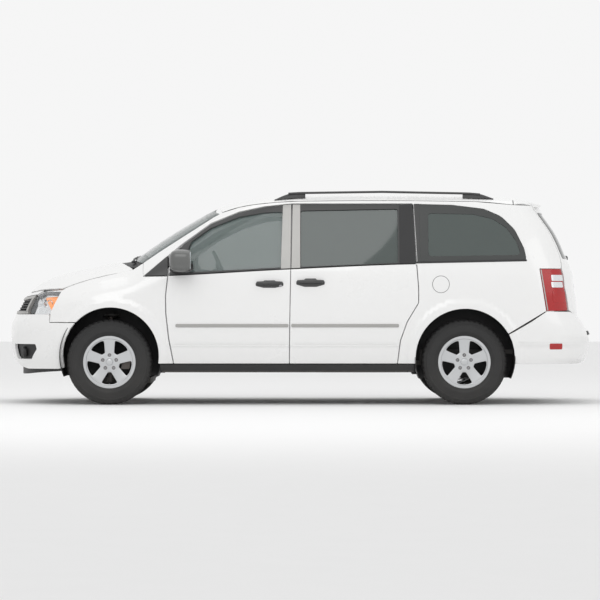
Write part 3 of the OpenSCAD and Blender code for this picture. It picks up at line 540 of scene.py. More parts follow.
def tube(path, radius, n=12, squash=1.0):
    """A round or oval bar along a path. radius may be one number or one for each point."""
    path = [Vector(p) for p in path]
    radii = radius if hasattr(radius, "__len__") else [radius] * len(path)
    sections = []
    up = Vector((0, 0, 1)) if abs((path[-1] - path[0]).normalized().z) < 0.9 else Vector((1, 0, 0))
    for i, p in enumerate(path):
        along = (path[min(i + 1, len(path) - 1)] - path[max(i - 1, 0)]).normalized()
        across = along.cross(up).normalized()
        top = across.cross(along)
        sections.append([p + radii[i] * (math.cos(a) * across + squash * math.sin(a) * top)
                         for a in round_angles(n)])
    return rings(sections)


def blob(centre, size, power=3.0, n=40, m=24):
    """A rounded lump: power 2 is an ellipsoid, and more is squarer."""
    def squared(value):
        return math.copysign(abs(value) ** (2 / power), value)

    sections = []
    for i in range(1, m):
        b = -math.pi / 2 + math.pi * i / m
        reach = squared(math.cos(b))
        sections.append([(centre[0] + size[0] * reach * squared(math.cos(a)),
                          centre[1] + size[1] * reach * squared(math.sin(a)),
                          centre[2] + size[2] * squared(math.sin(b))) for a in round_angles(n)])
    return rings(sections)


# ---- shader node groups ----

MIX_A, MIX_B, MIX_OUT = 6, 7, 2         # a colour Mix node's two colours and its result


def new_group(name, inputs, outputs):
    """An empty shader node group: (group, its input node, its output node)."""
    tree = bpy.data.node_groups.new(name, "ShaderNodeTree")
    for label, kind, value in inputs:
        socket = tree.interface.new_socket(name=label, in_out="INPUT", socket_type=kind)
        if value is not None:
            socket.default_value = value
    for label, kind in outputs:
        tree.interface.new_socket(name=label, in_out="OUTPUT", socket_type=kind)
    return tree, tree.nodes.new("NodeGroupInput"), tree.nodes.new("NodeGroupOutput")


def add(tree, kind, links=(), **values):
    """A node with its values set by name and its inputs linked from (input name or number, socket) pairs."""
    node = tree.nodes.new(kind)
    for key, value in values.items():
        if hasattr(node, key):
            setattr(node, key, value)
        else:
            node.inputs[key.replace("_", " ")].default_value = value
    for key, socket in links:
        tree.links.new(socket, node.inputs[key])
    return node


def make_shade_group():
    """Slow colour change over a surface."""
    tree, gin, gout = new_group("slow_shade", [("Color", "NodeSocketColor", None),
                                               ("Other", "NodeSocketColor", None),
                                               ("Scale", "NodeSocketFloat", 4.0)],
                                [("Color", "NodeSocketColor"), ("Mask", "NodeSocketFloat")])
    place = add(tree, "ShaderNodeTexCoord")
    noise = add(tree, "ShaderNodeTexNoise", [("Vector", place.outputs["Object"]),
                                             ("Scale", gin.outputs["Scale"])], Detail=6.0, Roughness=0.6)
    mix = add(tree, "ShaderNodeMix", [("Factor", noise.outputs["Fac"]), (MIX_A, gin.outputs["Color"]),
                                      (MIX_B, gin.outputs["Other"])], data_type="RGBA")
    tree.links.new(mix.outputs[MIX_OUT], gout.inputs["Color"])
    tree.links.new(noise.outputs["Fac"], gout.inputs["Mask"])
    return tree


def make_grain_group():
    """Fine moulded or cast grain, as a normal."""
    tree, gin, gout = new_group("fine_grain", [("Scale", "NodeSocketFloat", 400.0),
                                               ("Height", "NodeSocketFloat", 0.1)],
                                [("Normal", "NodeSocketVector")])
    place = add(tree, "ShaderNodeTexCoord")
    noise = add(tree, "ShaderNodeTexNoise", [("Vector", place.outputs["Object"]),
                                             ("Scale", gin.outputs["Scale"])], Detail=3.0)
    bump = add(tree, "ShaderNodeBump", [("Height", noise.outputs["Fac"]),
                                        ("Strength", gin.outputs["Height"])], Distance=0.001)
    tree.links.new(bump.outputs["Normal"], gout.inputs["Normal"])
    return tree


def make_weave_group():
    """Crossed threads: a normal, and a mask that is 1 on their crowns."""
    tree, gin, gout = new_group("weave", [("Scale", "NodeSocketFloat", 300.0),
                                          ("Height", "NodeSocketFloat", 0.5)],
                                [("Normal", "NodeSocketVector"), ("Mask", "NodeSocketFloat")])
    place = add(tree, "ShaderNodeTexCoord")
    waves = [add(tree, "ShaderNodeTexWave", [("Vector", place.outputs["Object"]),
                                             ("Scale", gin.outputs["Scale"])], bands_direction=axis,
                 Distortion=0.6) for axis in ("X", "Y", "Z")]
    first = add(tree, "ShaderNodeMath", [(0, waves[0].outputs["Fac"]), (1, waves[1].outputs["Fac"])],
                operation="MAXIMUM")
    second = add(tree, "ShaderNodeMath", [(0, first.outputs[0]), (1, waves[2].outputs["Fac"])],
                 operation="MULTIPLY")
    bump = add(tree, "ShaderNodeBump", [("Height", second.outputs[0]), ("Strength", gin.outputs["Height"])],
               Distance=0.0008)
    tree.links.new(bump.outputs["Normal"], gout.inputs["Normal"])
    tree.links.new(second.outputs[0], gout.inputs["Mask"])
    return tree


def make_dust_group():
    """Road dust that thins out with height."""
    tree, gin, gout = new_group("road_dust", [("Color", "NodeSocketColor", None),
                                              ("Dust", "NodeSocketColor", None),
                                              ("Top", "NodeSocketFloat", 0.6),
                                              ("Amount", "NodeSocketFloat", 0.2)],
                                [("Color", "NodeSocketColor"), ("Mask", "NodeSocketFloat")])
    place = add(tree, "ShaderNodeTexCoord")
    apart = add(tree, "ShaderNodeSeparateXYZ", [("Vector", place.outputs["Object"])])
    fade = add(tree, "ShaderNodeMapRange", [("Value", apart.outputs["Z"]), ("From Max", gin.outputs["Top"]),
                                            ("To Min", gin.outputs["Amount"])], To_Max=0.0)
    noise = add(tree, "ShaderNodeTexNoise", [("Vector", place.outputs["Object"])], Scale=9.0, Detail=8.0)
    mask = add(tree, "ShaderNodeMath", [(0, fade.outputs[0]), (1, noise.outputs["Fac"])],
               operation="MULTIPLY")
    mix = add(tree, "ShaderNodeMix", [("Factor", mask.outputs[0]), (MIX_A, gin.outputs["Color"]),
                                      (MIX_B, gin.outputs["Dust"])], data_type="RGBA")
    tree.links.new(mix.outputs[MIX_OUT], gout.inputs["Color"])
    tree.links.new(mask.outputs[0], gout.inputs["Mask"])
    return tree


SHADE = make_shade_group()
GRAIN = make_grain_group()
WEAVE = make_weave_group()
DUST = make_dust_group()
DUST_COLOR = (0.32, 0.29, 0.25)


def finish(name, color, other=None, rough=(0.4, 0.5), grain=None, weave=None, dust=0.0, scale=4.0,
           **constants):
    """A material: its colour drifts from one shade to another, its roughness follows, and grain or weave and
    road dust are laid over it."""
    material = bpy.data.materials.new(name)
    material.use_nodes = True
    tree = material.node_tree
    shader = tree.nodes["Principled BSDF"]
    for key, value in constants.items():
        shader.inputs[key.replace("_", " ")].default_value = value
    shade = add(tree, "ShaderNodeGroup", node_tree=SHADE)
    shade.inputs["Color"].default_value = (*color, 1)
    shade.inputs["Other"].default_value = (*(other or [c * 0.88 for c in color]), 1)
    shade.inputs["Scale"].default_value = scale
    out = shade.outputs["Color"]
    if dust:
        dusty = add(tree, "ShaderNodeGroup", node_tree=DUST)
        dusty.inputs["Dust"].default_value = (*DUST_COLOR, 1)
        dusty.inputs["Amount"].default_value = dust
        tree.links.new(out, dusty.inputs["Color"])
        out = dusty.outputs["Color"]
    tree.links.new(out, shader.inputs["Base Color"])
    spread = add(tree, "ShaderNodeMapRange", [("Value", shade.outputs["Mask"])], To_Min=rough[0],
                 To_Max=rough[1])
    tree.links.new(spread.outputs[0], shader.inputs["Roughness"])
    if grain or weave:
        relief = add(tree, "ShaderNodeGroup", node_tree=GRAIN if grain else WEAVE)
        fineness, height = grain or weave
        relief.inputs["Scale"].default_value = fineness
        relief.inputs["Height"].default_value = height
        tree.links.new(relief.outputs["Normal"], shader.inputs["Normal"])
    return material


WHITE_PAINT = finish("white_paint", (0.80, 0.80, 0.795), (0.775, 0.775, 0.77), (0.24, 0.32), dust=0.05,
                     scale=1.5, Coat_Weight=1.0, Coat_Roughness=0.04)
BLACK_PLASTIC = finish("black_plastic", (0.014, 0.014, 0.015), (0.02, 0.02, 0.021), (0.42, 0.6),
                       grain=(900, 0.2), dust=0.05)
FRAME_BLACK = finish("window_frame_black", (0.038, 0.039, 0.039), (0.045, 0.045, 0.045), (0.30, 0.42),
                     grain=(700, 0.08), scale=3)
SILVER_TRIM = finish("silver_trim", (0.42, 0.415, 0.40), (0.36, 0.355, 0.345), (0.34, 0.44),
                     grain=(500, 0.05), Metallic=0.55)
CHROME = finish("bright_chrome", (0.80, 0.81, 0.82), (0.70, 0.71, 0.72), (0.05, 0.12), Metallic=1.0)
LAMP_CHROME = finish("lamp_reflector", (0.86, 0.87, 0.88), (0.74, 0.75, 0.76), (0.12, 0.22), Metallic=0.9,
                     scale=12)
CLEAR_LENS = finish("clear_lens", (0.75, 0.78, 0.80), (0.68, 0.71, 0.73), (0.03, 0.08), Alpha=0.10,
                    Coat_Weight=0.5)
AMBER_LENS = finish("amber_lens", (0.95, 0.30, 0.015), (0.85, 0.22, 0.01), (0.12, 0.25), grain=(260, 0.5),
                    scale=20, Coat_Weight=0.3, Emission_Strength=0.35, Emission_Color=(0.95, 0.28, 0.01, 1))
RED_LENS = finish("red_lens", (0.42, 0.006, 0.007), (0.26, 0.003, 0.004), (0.10, 0.2), grain=(220, 0.35),
                  scale=14, Coat_Weight=0.35, Emission_Strength=0.06, Emission_Color=(0.6, 0.02, 0.02, 1))
WINDOW_GLASS = finish("window_glass", (0.135, 0.18, 0.172), (0.125, 0.17, 0.162), (0.02, 0.04), Alpha=0.45,
                      Coat_Weight=0.6)
DARK_GLASS = finish("privacy_glass", (0.064, 0.082, 0.076), (0.056, 0.072, 0.068), (0.02, 0.05), Alpha=0.90,
                    Coat_Weight=0.6)
FRIT = finish("glass_border", (0.028, 0.031, 0.030), (0.035, 0.038, 0.037), (0.12, 0.2), grain=(600, 0.03),
              Coat_Weight=0.5)
TYRE_RUBBER = finish("tyre_rubber", (0.012, 0.012, 0.0125), (0.018, 0.018, 0.018), (0.55, 0.75),
                     grain=(700, 0.3), dust=0.08, scale=14)
RIM_ALLOY = finish("rim_alloy", (0.60, 0.61, 0.62), (0.52, 0.53, 0.54), (0.26, 0.36), grain=(1200, 0.05),
                   dust=0.10, Metallic=0.75, Coat_Weight=0.4)
NUT_STEEL = finish("nut_steel", (0.42, 0.42, 0.43), (0.30, 0.30, 0.31), (0.2, 0.35), Metallic=1.0, scale=40)
BRAKE_IRON = finish("brake_iron", (0.10, 0.10, 0.105), (0.17, 0.14, 0.12), (0.4, 0.6), grain=(300, 0.2),
                    Metallic=0.8, scale=18, dust=0.2)
DARK_STEEL = finish("chassis_steel", (0.045, 0.046, 0.048), (0.08, 0.075, 0.07), (0.5, 0.7),
                    grain=(150, 0.2), dust=0.5, Metallic=0.3)
CAST_METAL = finish("cast_metal", (0.26, 0.26, 0.265), (0.18, 0.175, 0.17), (0.5, 0.7), grain=(120, 0.5),
                    dust=0.4, Metallic=0.7)
EXHAUST_STEEL = finish("exhaust_steel", (0.36, 0.33, 0.30), (0.24, 0.20, 0.17), (0.35, 0.6), grain=(80, 0.2),
                       dust=0.5, Metallic=0.9, scale=8)
DASH_PLASTIC = finish("dash_plastic", (0.12, 0.125, 0.125), (0.10, 0.105, 0.105), (0.5, 0.65),
                      grain=(1400, 0.4))
TRIM_CLOTH = finish("trim_cloth", (0.26, 0.27, 0.265), (0.22, 0.23, 0.225), (0.8, 0.95), weave=(500, 0.4),
                    Sheen_Weight=0.3)
SEAT_CLOTH = finish("seat_cloth", (0.20, 0.21, 0.205), (0.16, 0.17, 0.165), (0.82, 0.96), weave=(420, 0.7),
                    scale=9, Sheen_Weight=0.4)
CARPET = finish("carpet", (0.10, 0.10, 0.10), (0.07, 0.07, 0.07), (0.9, 1.0), grain=(900, 1.0), scale=12,
                Sheen_Weight=0.3)
HEADLINER = finish("headliner", (0.50, 0.51, 0.50), (0.46, 0.47, 0.46), (0.85, 0.95), grain=(700, 0.4))
MIRROR_SHELL = finish("mirror_shell", (0.13, 0.133, 0.13), (0.11, 0.113, 0.11), (0.26, 0.36),
                      grain=(500, 0.04), Metallic=0.3, Coat_Weight=0.5)
MIRROR_GLASS = finish("mirror_glass", (0.75, 0.78, 0.80), (0.70, 0.73, 0.75), (0.01, 0.03), Metallic=1.0)
HANDLE_GREY = finish("handle_grey", (0.055, 0.056, 0.056), (0.045, 0.046, 0.046), (0.3, 0.4),
                     grain=(500, 0.05))
RAIL_BLACK = finish("rail_black", (0.032, 0.032, 0.033), (0.05, 0.05, 0.05), (0.35, 0.5), grain=(500, 0.08))
PLATE_BLANK = finish("blank_plate", (0.72, 0.73, 0.74), (0.66, 0.67, 0.68), (0.35, 0.45), Coat_Weight=0.3)


def both(shape, name, body, slot, material, sharp=38):
    """The same piece on the left and, mirrored, on the right. {} stands for left or right in the names of the
    piece and its body."""
    return [s.build(name.format(w), body.format(w), slot, material, sharp)
            for w, s in (("left", shape), ("right", shape.mirrored()))]


def hides(pieces, *nodes):
    """Each piece stands for the CAD node named with it."""
    for piece, node in zip(pieces, nodes):
        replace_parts(piece, node)


# ---- outlines of the side view ----
FRONT_DOOR_FRONT = [(-1121, 1097), (-1140, 929), (-1138, 784), (-1113, 559), (-1072, SILL_Z)]
DOOR_TOP_LINE = [(-69, DOOR_TOP), (-300, 1688), (-520, 1643), (-764, 1543), (-1000, 1366)]
SLIDER_REAR = [(965, DOOR_TOP), (990, 1200), (1006, 993), (1006, 865), (908, 703), (851, 543), (827, SILL_Z)]
FRONT_WINDOW = [(-1035, 1121), (-157, 1168), (-146, 1642), (-300, 1636), (-520, 1600), (-764, 1505),
                (-925, 1390)]
SLIDER_WINDOW = [(5, 1172), (833, 1208), (833, 1668), (5, 1652)]
QUARTER_DARK = [(1000, 1214), (1928, 1224), (1908, 1330, 150), (1830, 1492, 150), (1716, 1606, 150),
                (1570, 1670, 150), (1300, 1704, 300), (1000, 1712, 6)]
QUARTER_WINDOW = [(1092, 1262), (1880, 1274), (1842, 1390, 140), (1757, 1510, 140), (1640, 1584, 140),
                  (1480, 1622, 200), (1092, 1632)]
LAMP = [(2039, 1154), (2096, 797), (2283, 800), (2226, 1154)]
MOULDING = (659, 687)                   # the heights of the moulding along the doors
RIDGE = (492, 506)                      # and of the raised line below it
FUEL = (1196, 1023, 70)                 # the filler's middle and radius
# the liftgate's edge in the end view, as heights and half widths
GATE_Z = [640, 740, 805, 1000, 1154, 1270, 1500, 1640, 1700]
GATE_Y = [610, 650, 792, 800, 786, 712, 668, 642, 640]
WINDSHIELD = [(0, 1249), (400, 1237), (742, 1207), (624, 1632), (400, 1663), (0, 1687)]


def belt_points(x0, x1, rise=0):
    """Points along the window's lower edge."""
    return [(x, float(belt(x)) + rise) for x in np.linspace(x0, x1, 5)]


def arch_points(arch, z0, z1):
    """An arch's edge from its front at height z0, over the top, to its rear at height z1."""
    cx, cz, r = arch
    a0, a1 = math.pi - math.asin((z0 - cz) / r), math.asin((z1 - cz) / r)
    return [(cx + r * math.cos(a), cz + r * math.sin(a), 1) for a in np.linspace(a0, a1, 34)]


def door_shape(points, holes=(), thick=SKIN, lift=0):
    """A door's skin or window frame, with the gap round it taken off."""
    outer = inset(as_outer(rounded(points, 9)), GAP)
    return panel([outer] + [rounded(h, 24) for h in holes], on_side, thick, lift, 3.5, 34)


def patch(points, thick=3, lift=1.5, radius=6, edge=1.2, step=40):
    """A thin piece that lies on the side's skin."""
    return panel([rounded(points, radius)], on_side, thick, lift, edge, step)


# ---- doors ----


def handle(x0, x1, z0, z1):
    """A pull handle over its scooped plate."""
    mid_x, mid_z = (x0 + x1) / 2, (z0 + z1) / 2
    y = -value_at(half_width, mid_x, mid_z)
    length = x1 - x0
    bar = [(x0 + length * t, y - 18 * math.sin(math.pi * t) ** 0.5 - 4, mid_z + 10)
           for t in np.linspace(0.04, 0.96, 15)]
    grip = tube(bar, [11 + 5 * math.sin(math.pi * i / 14) for i in range(15)], 14, 1.05)
    plate = patch([(x0, mid_z - 16), (mid_x - 50, z0), (mid_x + 50, z0), (x1, mid_z - 16), (x1, mid_z + 14),
                   (mid_x + 62, mid_z + 16), (mid_x + 44, z1), (mid_x - 44, z1), (mid_x - 62, mid_z + 16),
                   (x0, mid_z + 14)], 4, 2, 12)
    return together([Shape(plate.points, plate.faces), grip])


def front_doors():
    """Both front doors: skin, window frame and glass, trim, handle, lock and lining."""
    low = [(-91, SILL_Z), (-87, 700), (-79, 1153)] + belt_points(-153, -1121) + FRONT_DOOR_FRONT[1:]
    skin = both(door_shape(low), "{}_front_door_skin", "{}_front_door", "white_paint", WHITE_PAINT)
    hides(skin, "left_front_door", "right_front_door")
    high = belt_points(-1121, -79, 2) + DOOR_TOP_LINE
    both(door_shape(high, [FRONT_WINDOW], 30, -1), "{}_front_window_frame", "{}_front_door",
         "black_plastic", FRAME_BLACK)
    both(patch([(-163, 1156), (-82, 1159), (-74, 1706), (-146, 1702)], 3, 1), "{}_front_pillar_trim",
         "{}_front_door", "mirror_shell", SILVER_TRIM)
    glass = both(panel([rounded(FRONT_WINDOW, 18)], on_side, 5, -12, 1), "{}_front_glass",
                 "{}_front_door", "clear_glass", WINDOW_GLASS)
    hides(glass, "left_door_glass", "right_door_glass")
    moulding = oblong(-1056, -98, *MOULDING)
    both(patch(moulding, 9, 7, 12, 3), "{}_front_moulding", "{}_front_door", "mirror_shell", SILVER_TRIM)
    both(patch([(-1096, RIDGE[0]), (-98, RIDGE[0]), (-98, RIDGE[1]), (-1099, RIDGE[1])], 6, 4, 3, 3),
         "{}_front_ridge", "{}_front_door", "white_paint", WHITE_PAINT)
    both(handle(-376, -141, 993, 1057), "{}_front_handle", "{}_front_door", "mirror_shell", HANDLE_GREY)
    lock = lathe([(0, 0), (13, 0), (13, 3), (10, 5), (0, 5)], 24).placed(SIDEWAYS)
    y = -value_at(half_width, -166, 1012)
    both(lock.moved(-166, y - 2, 1012), "{}_front_lock", "{}_front_door", "mirror_shell", NUT_STEEL)
    inner = [(-1010, 470), (-190, 470), (-175, 1085), (-1050, 1050)]
    both(patch(inner, 46, -30, 40, 14, 60), "{}_front_door_trim", "{}_front_door", "dash_plastic",
         DASH_PLASTIC)
    both(patch([(-930, 700), (-260, 720), (-255, 960), (-930, 930)], 6, -76, 40, 3, 60),
         "{}_front_door_cloth", "{}_front_door", "seat_cloth", TRIM_CLOTH)
    rest = block(-900, -380, -850, -800, 640, 690, 20, 10)
    both(rest, "{}_front_armrest", "{}_front_door", "dash_plastic", DASH_PLASTIC)


def sliding_doors():
    """Both sliding doors, which stay shut."""
    low = [(-91, SILL_Z)] + SLIDER_REAR[:0:-1] + [(991, 1198)] + belt_points(835, -79) + [(-87, 700)]
    skin = both(door_shape(low), "{}_sliding_skin", "body", "white_paint", WHITE_PAINT)
    hides(skin, "left_sliding_door", "right_sliding_door")
    high = belt_points(-79, 990, 2) + [(965, DOOR_TOP), (-69, DOOR_TOP)]
    both(door_shape(high, [SLIDER_WINDOW], 30, -1), "{}_sliding_window_frame", "body", "black_plastic",
         FRAME_BLACK)
    both(patch([(-73, 1160), (2, 1163), (2, 1706), (-63, 1706)], 3, 1), "{}_sliding_pillar_trim", "body",
         "mirror_shell", SILVER_TRIM)
    both(patch([(846, 1204), (982, 1208), (961, 1704), (846, 1700)], 3, 1.5), "{}_rear_pillar_trim", "body",
         "black_plastic", BLACK_PLASTIC)
    both(patch(oblong(-74, 839, *MOULDING), 9, 7, 12, 3), "{}_sliding_moulding", "body",
         "mirror_shell", SILVER_TRIM)
    both(patch([(-74, RIDGE[0]), (830, RIDGE[0]), (836, RIDGE[1]), (-74, RIDGE[1])], 6, 4, 3, 3),
         "{}_sliding_ridge", "body", "white_paint", WHITE_PAINT)
    both(handle(-32, 210, 1001, 1073), "{}_sliding_handle", "body", "mirror_shell", HANDLE_GREY)
    both(patch([(30, 470), (820, 470), (900, 900), (900, 1120), (30, 1090)], 46, -30, 40, 14, 60),
         "{}_sliding_door_trim", "body", "dash_plastic", DASH_PLASTIC)
    glass = both(panel([rounded(SLIDER_WINDOW, 25)], on_side, 5, -12, 1), "{}_sliding_glass", "body",
                 "privacy_glass", DARK_GLASS)
    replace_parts(glass[0], "rear_side_glass")


# ---- fixed sides ----


def gate_seam(z, out):
    """A point of the side view on the liftgate's edge."""
    y = float(np.interp(z, GATE_Z, GATE_Y)) + out
    return value_at(back_x, y, z), z


def pillar_edge(z):
    """A point of the side view on the windshield's edge."""
    y = float(np.interp(z, [1207, 1632], [746, 628]))
    return value_at(front_x, y, z), z


def body_sides():
    """The painted quarter panels round the doors, with the quarter glass, the door frames and the filler."""
    door_edge = [(-1333, 1093), (-1006, 1372), (-766, 1548), (-521, 1648), (-300, 1693),
                 (-69, DOOR_TOP + 4), (968, DOOR_TOP + 4, 20), (994, 1202), (1010, 993, 30),
                 (1010, 865, 60), (912, 703, 60), (855, 543), (831, 350)]
    arch = arch_points(REAR_ARCH, 350, 604)
    lamp_side = [(2091, 797), (2035, 1158), (2226, 1158)]
    seam = [gate_seam(z, 4) for z in (1180, 1230, 1270, 1350, 1430, 1500, 1570, 1640, 1698)]
    top = [(x, float(drip(x)) - 2) for x in (1822, 1500, 1000, 500, 0, -200, -400, -520, -667)]
    pillar = [pillar_edge(z) for z in (1600, 1500, 1400, 1300, 1207)]
    outline = door_edge + arch + lamp_side + seam + top + pillar
    cx, cz, r = FUEL
    hole = circle(r + GAP, 47, (cx, cz))
    loops = [rounded(outline, 5, 20), rounded(QUARTER_DARK, 30), hole]
    left = panel(loops, on_side, SKIN, 0, 3, 30).build("left_side_panel", "body", "white_paint", WHITE_PAINT)
    right = panel(loops[:2], on_side, SKIN, 0, 3, 30).mirrored()
    right = right.build("right_side_panel", "body", "white_paint", WHITE_PAINT)
    hides((left, right), "left_body_side", "right_body_side")
    quarter_glass()
    inner_frame()
    fuel_pocket()


def quarter_glass():
    """The rearmost side window and its dark border, the door track's cover, and the sail up front."""
    both(patch([(997, 1212), (1018, 1212), (1018, 1712), (971, 1712)], 3, 1.5), "{}_quarter_edge", "body",
         "black_plastic", FRAME_BLACK)
    frame_loops = [inset(as_outer(rounded(QUARTER_DARK, 28)), 3), rounded(QUARTER_WINDOW, 34)]
    both(panel(frame_loops, on_side, 14, -2, 2), "{}_quarter_border", "body", "privacy_glass", FRIT)
    both(panel([rounded(QUARTER_WINDOW, 34)], on_side, 5, -6, 1), "{}_quarter_glass", "body",
         "privacy_glass", DARK_GLASS)
    both(patch([(848, 1197), (1930, 1219), (1926, 1236), (848, 1213)], 6, 3, 6, 2), "{}_track_cover", "body",
         "black_plastic", BLACK_PLASTIC)
    sail = panel([rounded([(-1327, 1097), (-1127, 1099), (-1127, 1272)], 6)], on_side, 12, -1, 2)
    both(sail, "{}_pillar_sail", "body", "black_plastic", FRAME_BLACK)


def fuel_pocket():
    """The dark cup behind the filler's lid, on the left only."""
    cx, cz, r = FUEL
    pocket = lathe([(0, 0), (r + 2, 0), (r + 2, 24), (r - 2, 24), (r - 2, 4), (0, 4)], 48)
    y = -value_at(half_width, cx, cz)
    pocket = pocket.placed(SIDEWAYS).moved(cx, y + 40, cz)
    pocket.build("fuel_pocket", "body", "black_plastic", BLACK_PLASTIC)


def inner_frame():
    """The painted frame round both door openings, behind the doors."""
    outer = rounded([(-1060, 275), (955, 275), (966, 400), (982, 520), (1032, 620), (1080, 700),
                     (1088, 1690), (-330, 1680), (-560, 1622), (-780, 1518), (-1030, 1330), (-1165, 1130),
                     (-1165, 620)], 20, 40)
    front = [(-1035, 415), (-150, 415), (-150, 1640), (-300, 1628), (-530, 1580), (-760, 1480), (-960, 1340),
             (-1062, 1100), (-1080, 930), (-1078, 784)]
    rear = [(-26, 415), (780, 415), (800, 560), (860, 740), (944, 890), (946, 1000), (906, 1640),
            (-14, 1640)]
    shape = panel([outer, rounded(front, 30, 40), rounded(rear, 30, 40)], on_side, 60, -40, 5, 60)
    both(shape, "{}_door_frame", "body", "white_paint", WHITE_PAINT)


def fuel_door():
    """The round lid over the filler."""
    cx, cz, r = FUEL
    lid = panel([circle(r, 63, (cx, cz))], on_side, 8, 0, 2.5, 20)
    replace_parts(lid.build("fuel_lid", "fuel_door", "white_paint", WHITE_PAINT), "fuel_door")


def fenders():
    """The front fenders, from the hood's seam down to the arch and the front door."""
    hood_edge = [(-1980, 738), (-1900, 743), (-1780, 745), (-1600, 745), (-1425, 745)]
    seam = [(-2035, 974)] + [(x, value_at(skin_top, x, y + 8)) for x, y in hood_edge]
    rear = [(-1077, 350), (-1118, 559), (-1143, 784), (-1145, 929), (-1127, 1091), (-1333, 1089),
            pillar_edge(1205)]
    front = [(-2126, 784), (-2133, 702)]
    arch = arch_points(FRONT_ARCH, 702, 350)
    skin = panel([rounded(rear + seam[::-1] + front + arch, 4, 20)], on_side, SKIN, 0, 3, 30)
    pieces = both(skin, "{}_fender", "body", "white_paint", WHITE_PAINT)
    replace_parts(pieces[0], "front_fenders")


def sills():
    """The black covers under the doors."""
    band = oblong(-1190, 978, 268, 344)
    both(panel([rounded(band, 10, 40)], on_side, 70, -10, 8, 50), "{}_sill_cover", "body", "black_plastic",
         BLACK_PLASTIC)
    seam = oblong(-1170, 960, 276, 284)
    both(patch(seam, 4, -8, 2, 1), "{}_sill_seam", "body", "black_plastic", DARK_STEEL)


def arch_x(arch, z, end):
    """Length position of an arch's edge at a height: end is -1 for its front and 1 for its rear."""
    cx, cz, r = arch
    return cx + end * math.sqrt(r * r - (z - cz) ** 2)


def wheel_housings():
    """The dark liners over the wheels, each with a wall behind its wheel."""
    liners = []
    for (cx, cz, r), inner, outer, room in ((FRONT_ARCH, 496, 930, 20), (REAR_ARCH, 640, 955, 2)):
        turns = np.linspace(math.radians(-24), math.radians(204), 60)
        near, far = r + room, r + room + 5
        strip = oblong(-outer, -inner, near, far)
        sections = [[(cx + q * math.cos(a), y, cz + q * math.sin(a)) for y, q in strip] for a in turns]
        wide = near + 2
        wall = as_outer(np.array([(cx + wide * math.cos(a), cz + wide * math.sin(a)) for a in turns]))
        liners.append(rings(sections))
        liners.append(prism(wall, inner, inner + 4, 1).placed(SIDEWAYS))
    pieces = both(together(liners), "{}_wheel_housing", "body", "black_plastic", BLACK_PLASTIC)
    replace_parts(pieces[0], "wheel_liners")


# ---- top ----


def roof():
    """The roof's skin and lining, and the corners beside the liftgate."""
    front = [(-696 + 38 * (v / 800) ** 2, v) for v in np.linspace(800, -800, 21)]
    rear = [(1824 - 6 * (v / 800) ** 2, v) for v in np.linspace(-800, 800, 21)]
    skin = panel([rounded(front + rear, 1, 30)], on_roof, 12, 0, 3, 40)
    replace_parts(skin.build("roof_skin", "body", "white_paint", WHITE_PAINT), "roof_panel")
    lining = panel([rounded(oblong(-640, 1760, -690, 690), 60, 60)], on_roof, 8, -34, 3, 80)
    lining.build("roof_lining", "body", "seat_cloth", HEADLINER)
    corner = [(1827, 638), (1827, 737), (1862, 722), (1902, 702), (1942, 680), (1984, 646), (1984, 638)]
    both(panel([as_outer(rounded(corner, 3, 30))], on_top, 14, 0, 3, 30).mirrored(), "{}_roof_corner",
         "body", "white_paint", WHITE_PAINT)


def roof_rails():
    """A slim arched bar on two long feet over each edge of the roof."""
    bars = []
    for x0, x1, turn in ((-219, 46, 1), (1392, 1656, -1)):
        xs = np.linspace(x0, x1, 25)
        base = skin_top(xs, np.full(25, 690.0))
        sections = []
        for i, x in enumerate(xs):
            t = i / 24 if turn > 0 else 1 - i / 24
            high = 4 + 40 * math.sin(math.pi / 2 * min(1, t / 0.62)) ** 1.2
            wide = 12 + 11 * math.sin(math.pi * min(1, t * 0.9 + 0.1)) ** 0.7
            sections.append([(x, -690 + wide * math.cos(a) * (1 - 0.35 * max(0, math.sin(a))),
                              base[i] + 1 + high * max(0, math.sin(a)) ** 0.8) for a in round_angles(23)])
        bars.append(rings(sections))
    path = [(x, -698, float(np.interp(x, [-100, 0, 700, 1440, 1540], [1806, 1812, 1822, 1808, 1800])) - 6)
            for x in np.linspace(-100, 1540, 40)]
    bars.append(tube(path, 13, 16, 0.75))
    pieces = both(together(bars), "{}_roof_rail", "body", "black_rail", RAIL_BLACK)
    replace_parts(pieces[0], "roof_rails")


def hood():
    """The hood's skin, and the brace under it."""
    half = [(-2368, 0), (-2345, 200), (-2290, 380), (-2187, 552), (-2110, 655), (-2035, 728), (-1980, 738),
            (-1900, 743), (-1780, 745), (-1600, 745), (-1425, 745), (-1480, 600), (-1536, 400),
            (-1569, 200), (-1575, 0)]
    loop = as_outer(rounded(half[1:] + plan_mirrored(half[:-1]), 12, 26))
    skin = panel([inset(loop, 2)], on_top, 12, 0, 4, 32)
    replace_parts(skin.build("hood_skin", "hood", "white_paint", WHITE_PAINT), "hood")
    brace = panel([inset(loop, 60)], on_top, 5, -14, 2, 60)
    brace.build("hood_brace", "hood", "dark_steel", BLACK_PLASTIC)


def windshield():
    """The windshield, and its dark border."""
    loop = as_outer(rounded(WINDSHIELD + mirrored(WINDSHIELD[1:-1]), 20, 40))
    glass = panel([loop], on_front, 6, 0, 1.5, 50)
    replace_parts(glass.build("windshield_glass", "body", "clear_glass", WINDOW_GLASS), "windshield")
    border = panel([inset(loop, 3), inset(loop, 46)[::-1]], on_front, 1.6, -6.4, 0.5, 50)
    border.build("windshield_border", "body", "black_plastic", FRIT)


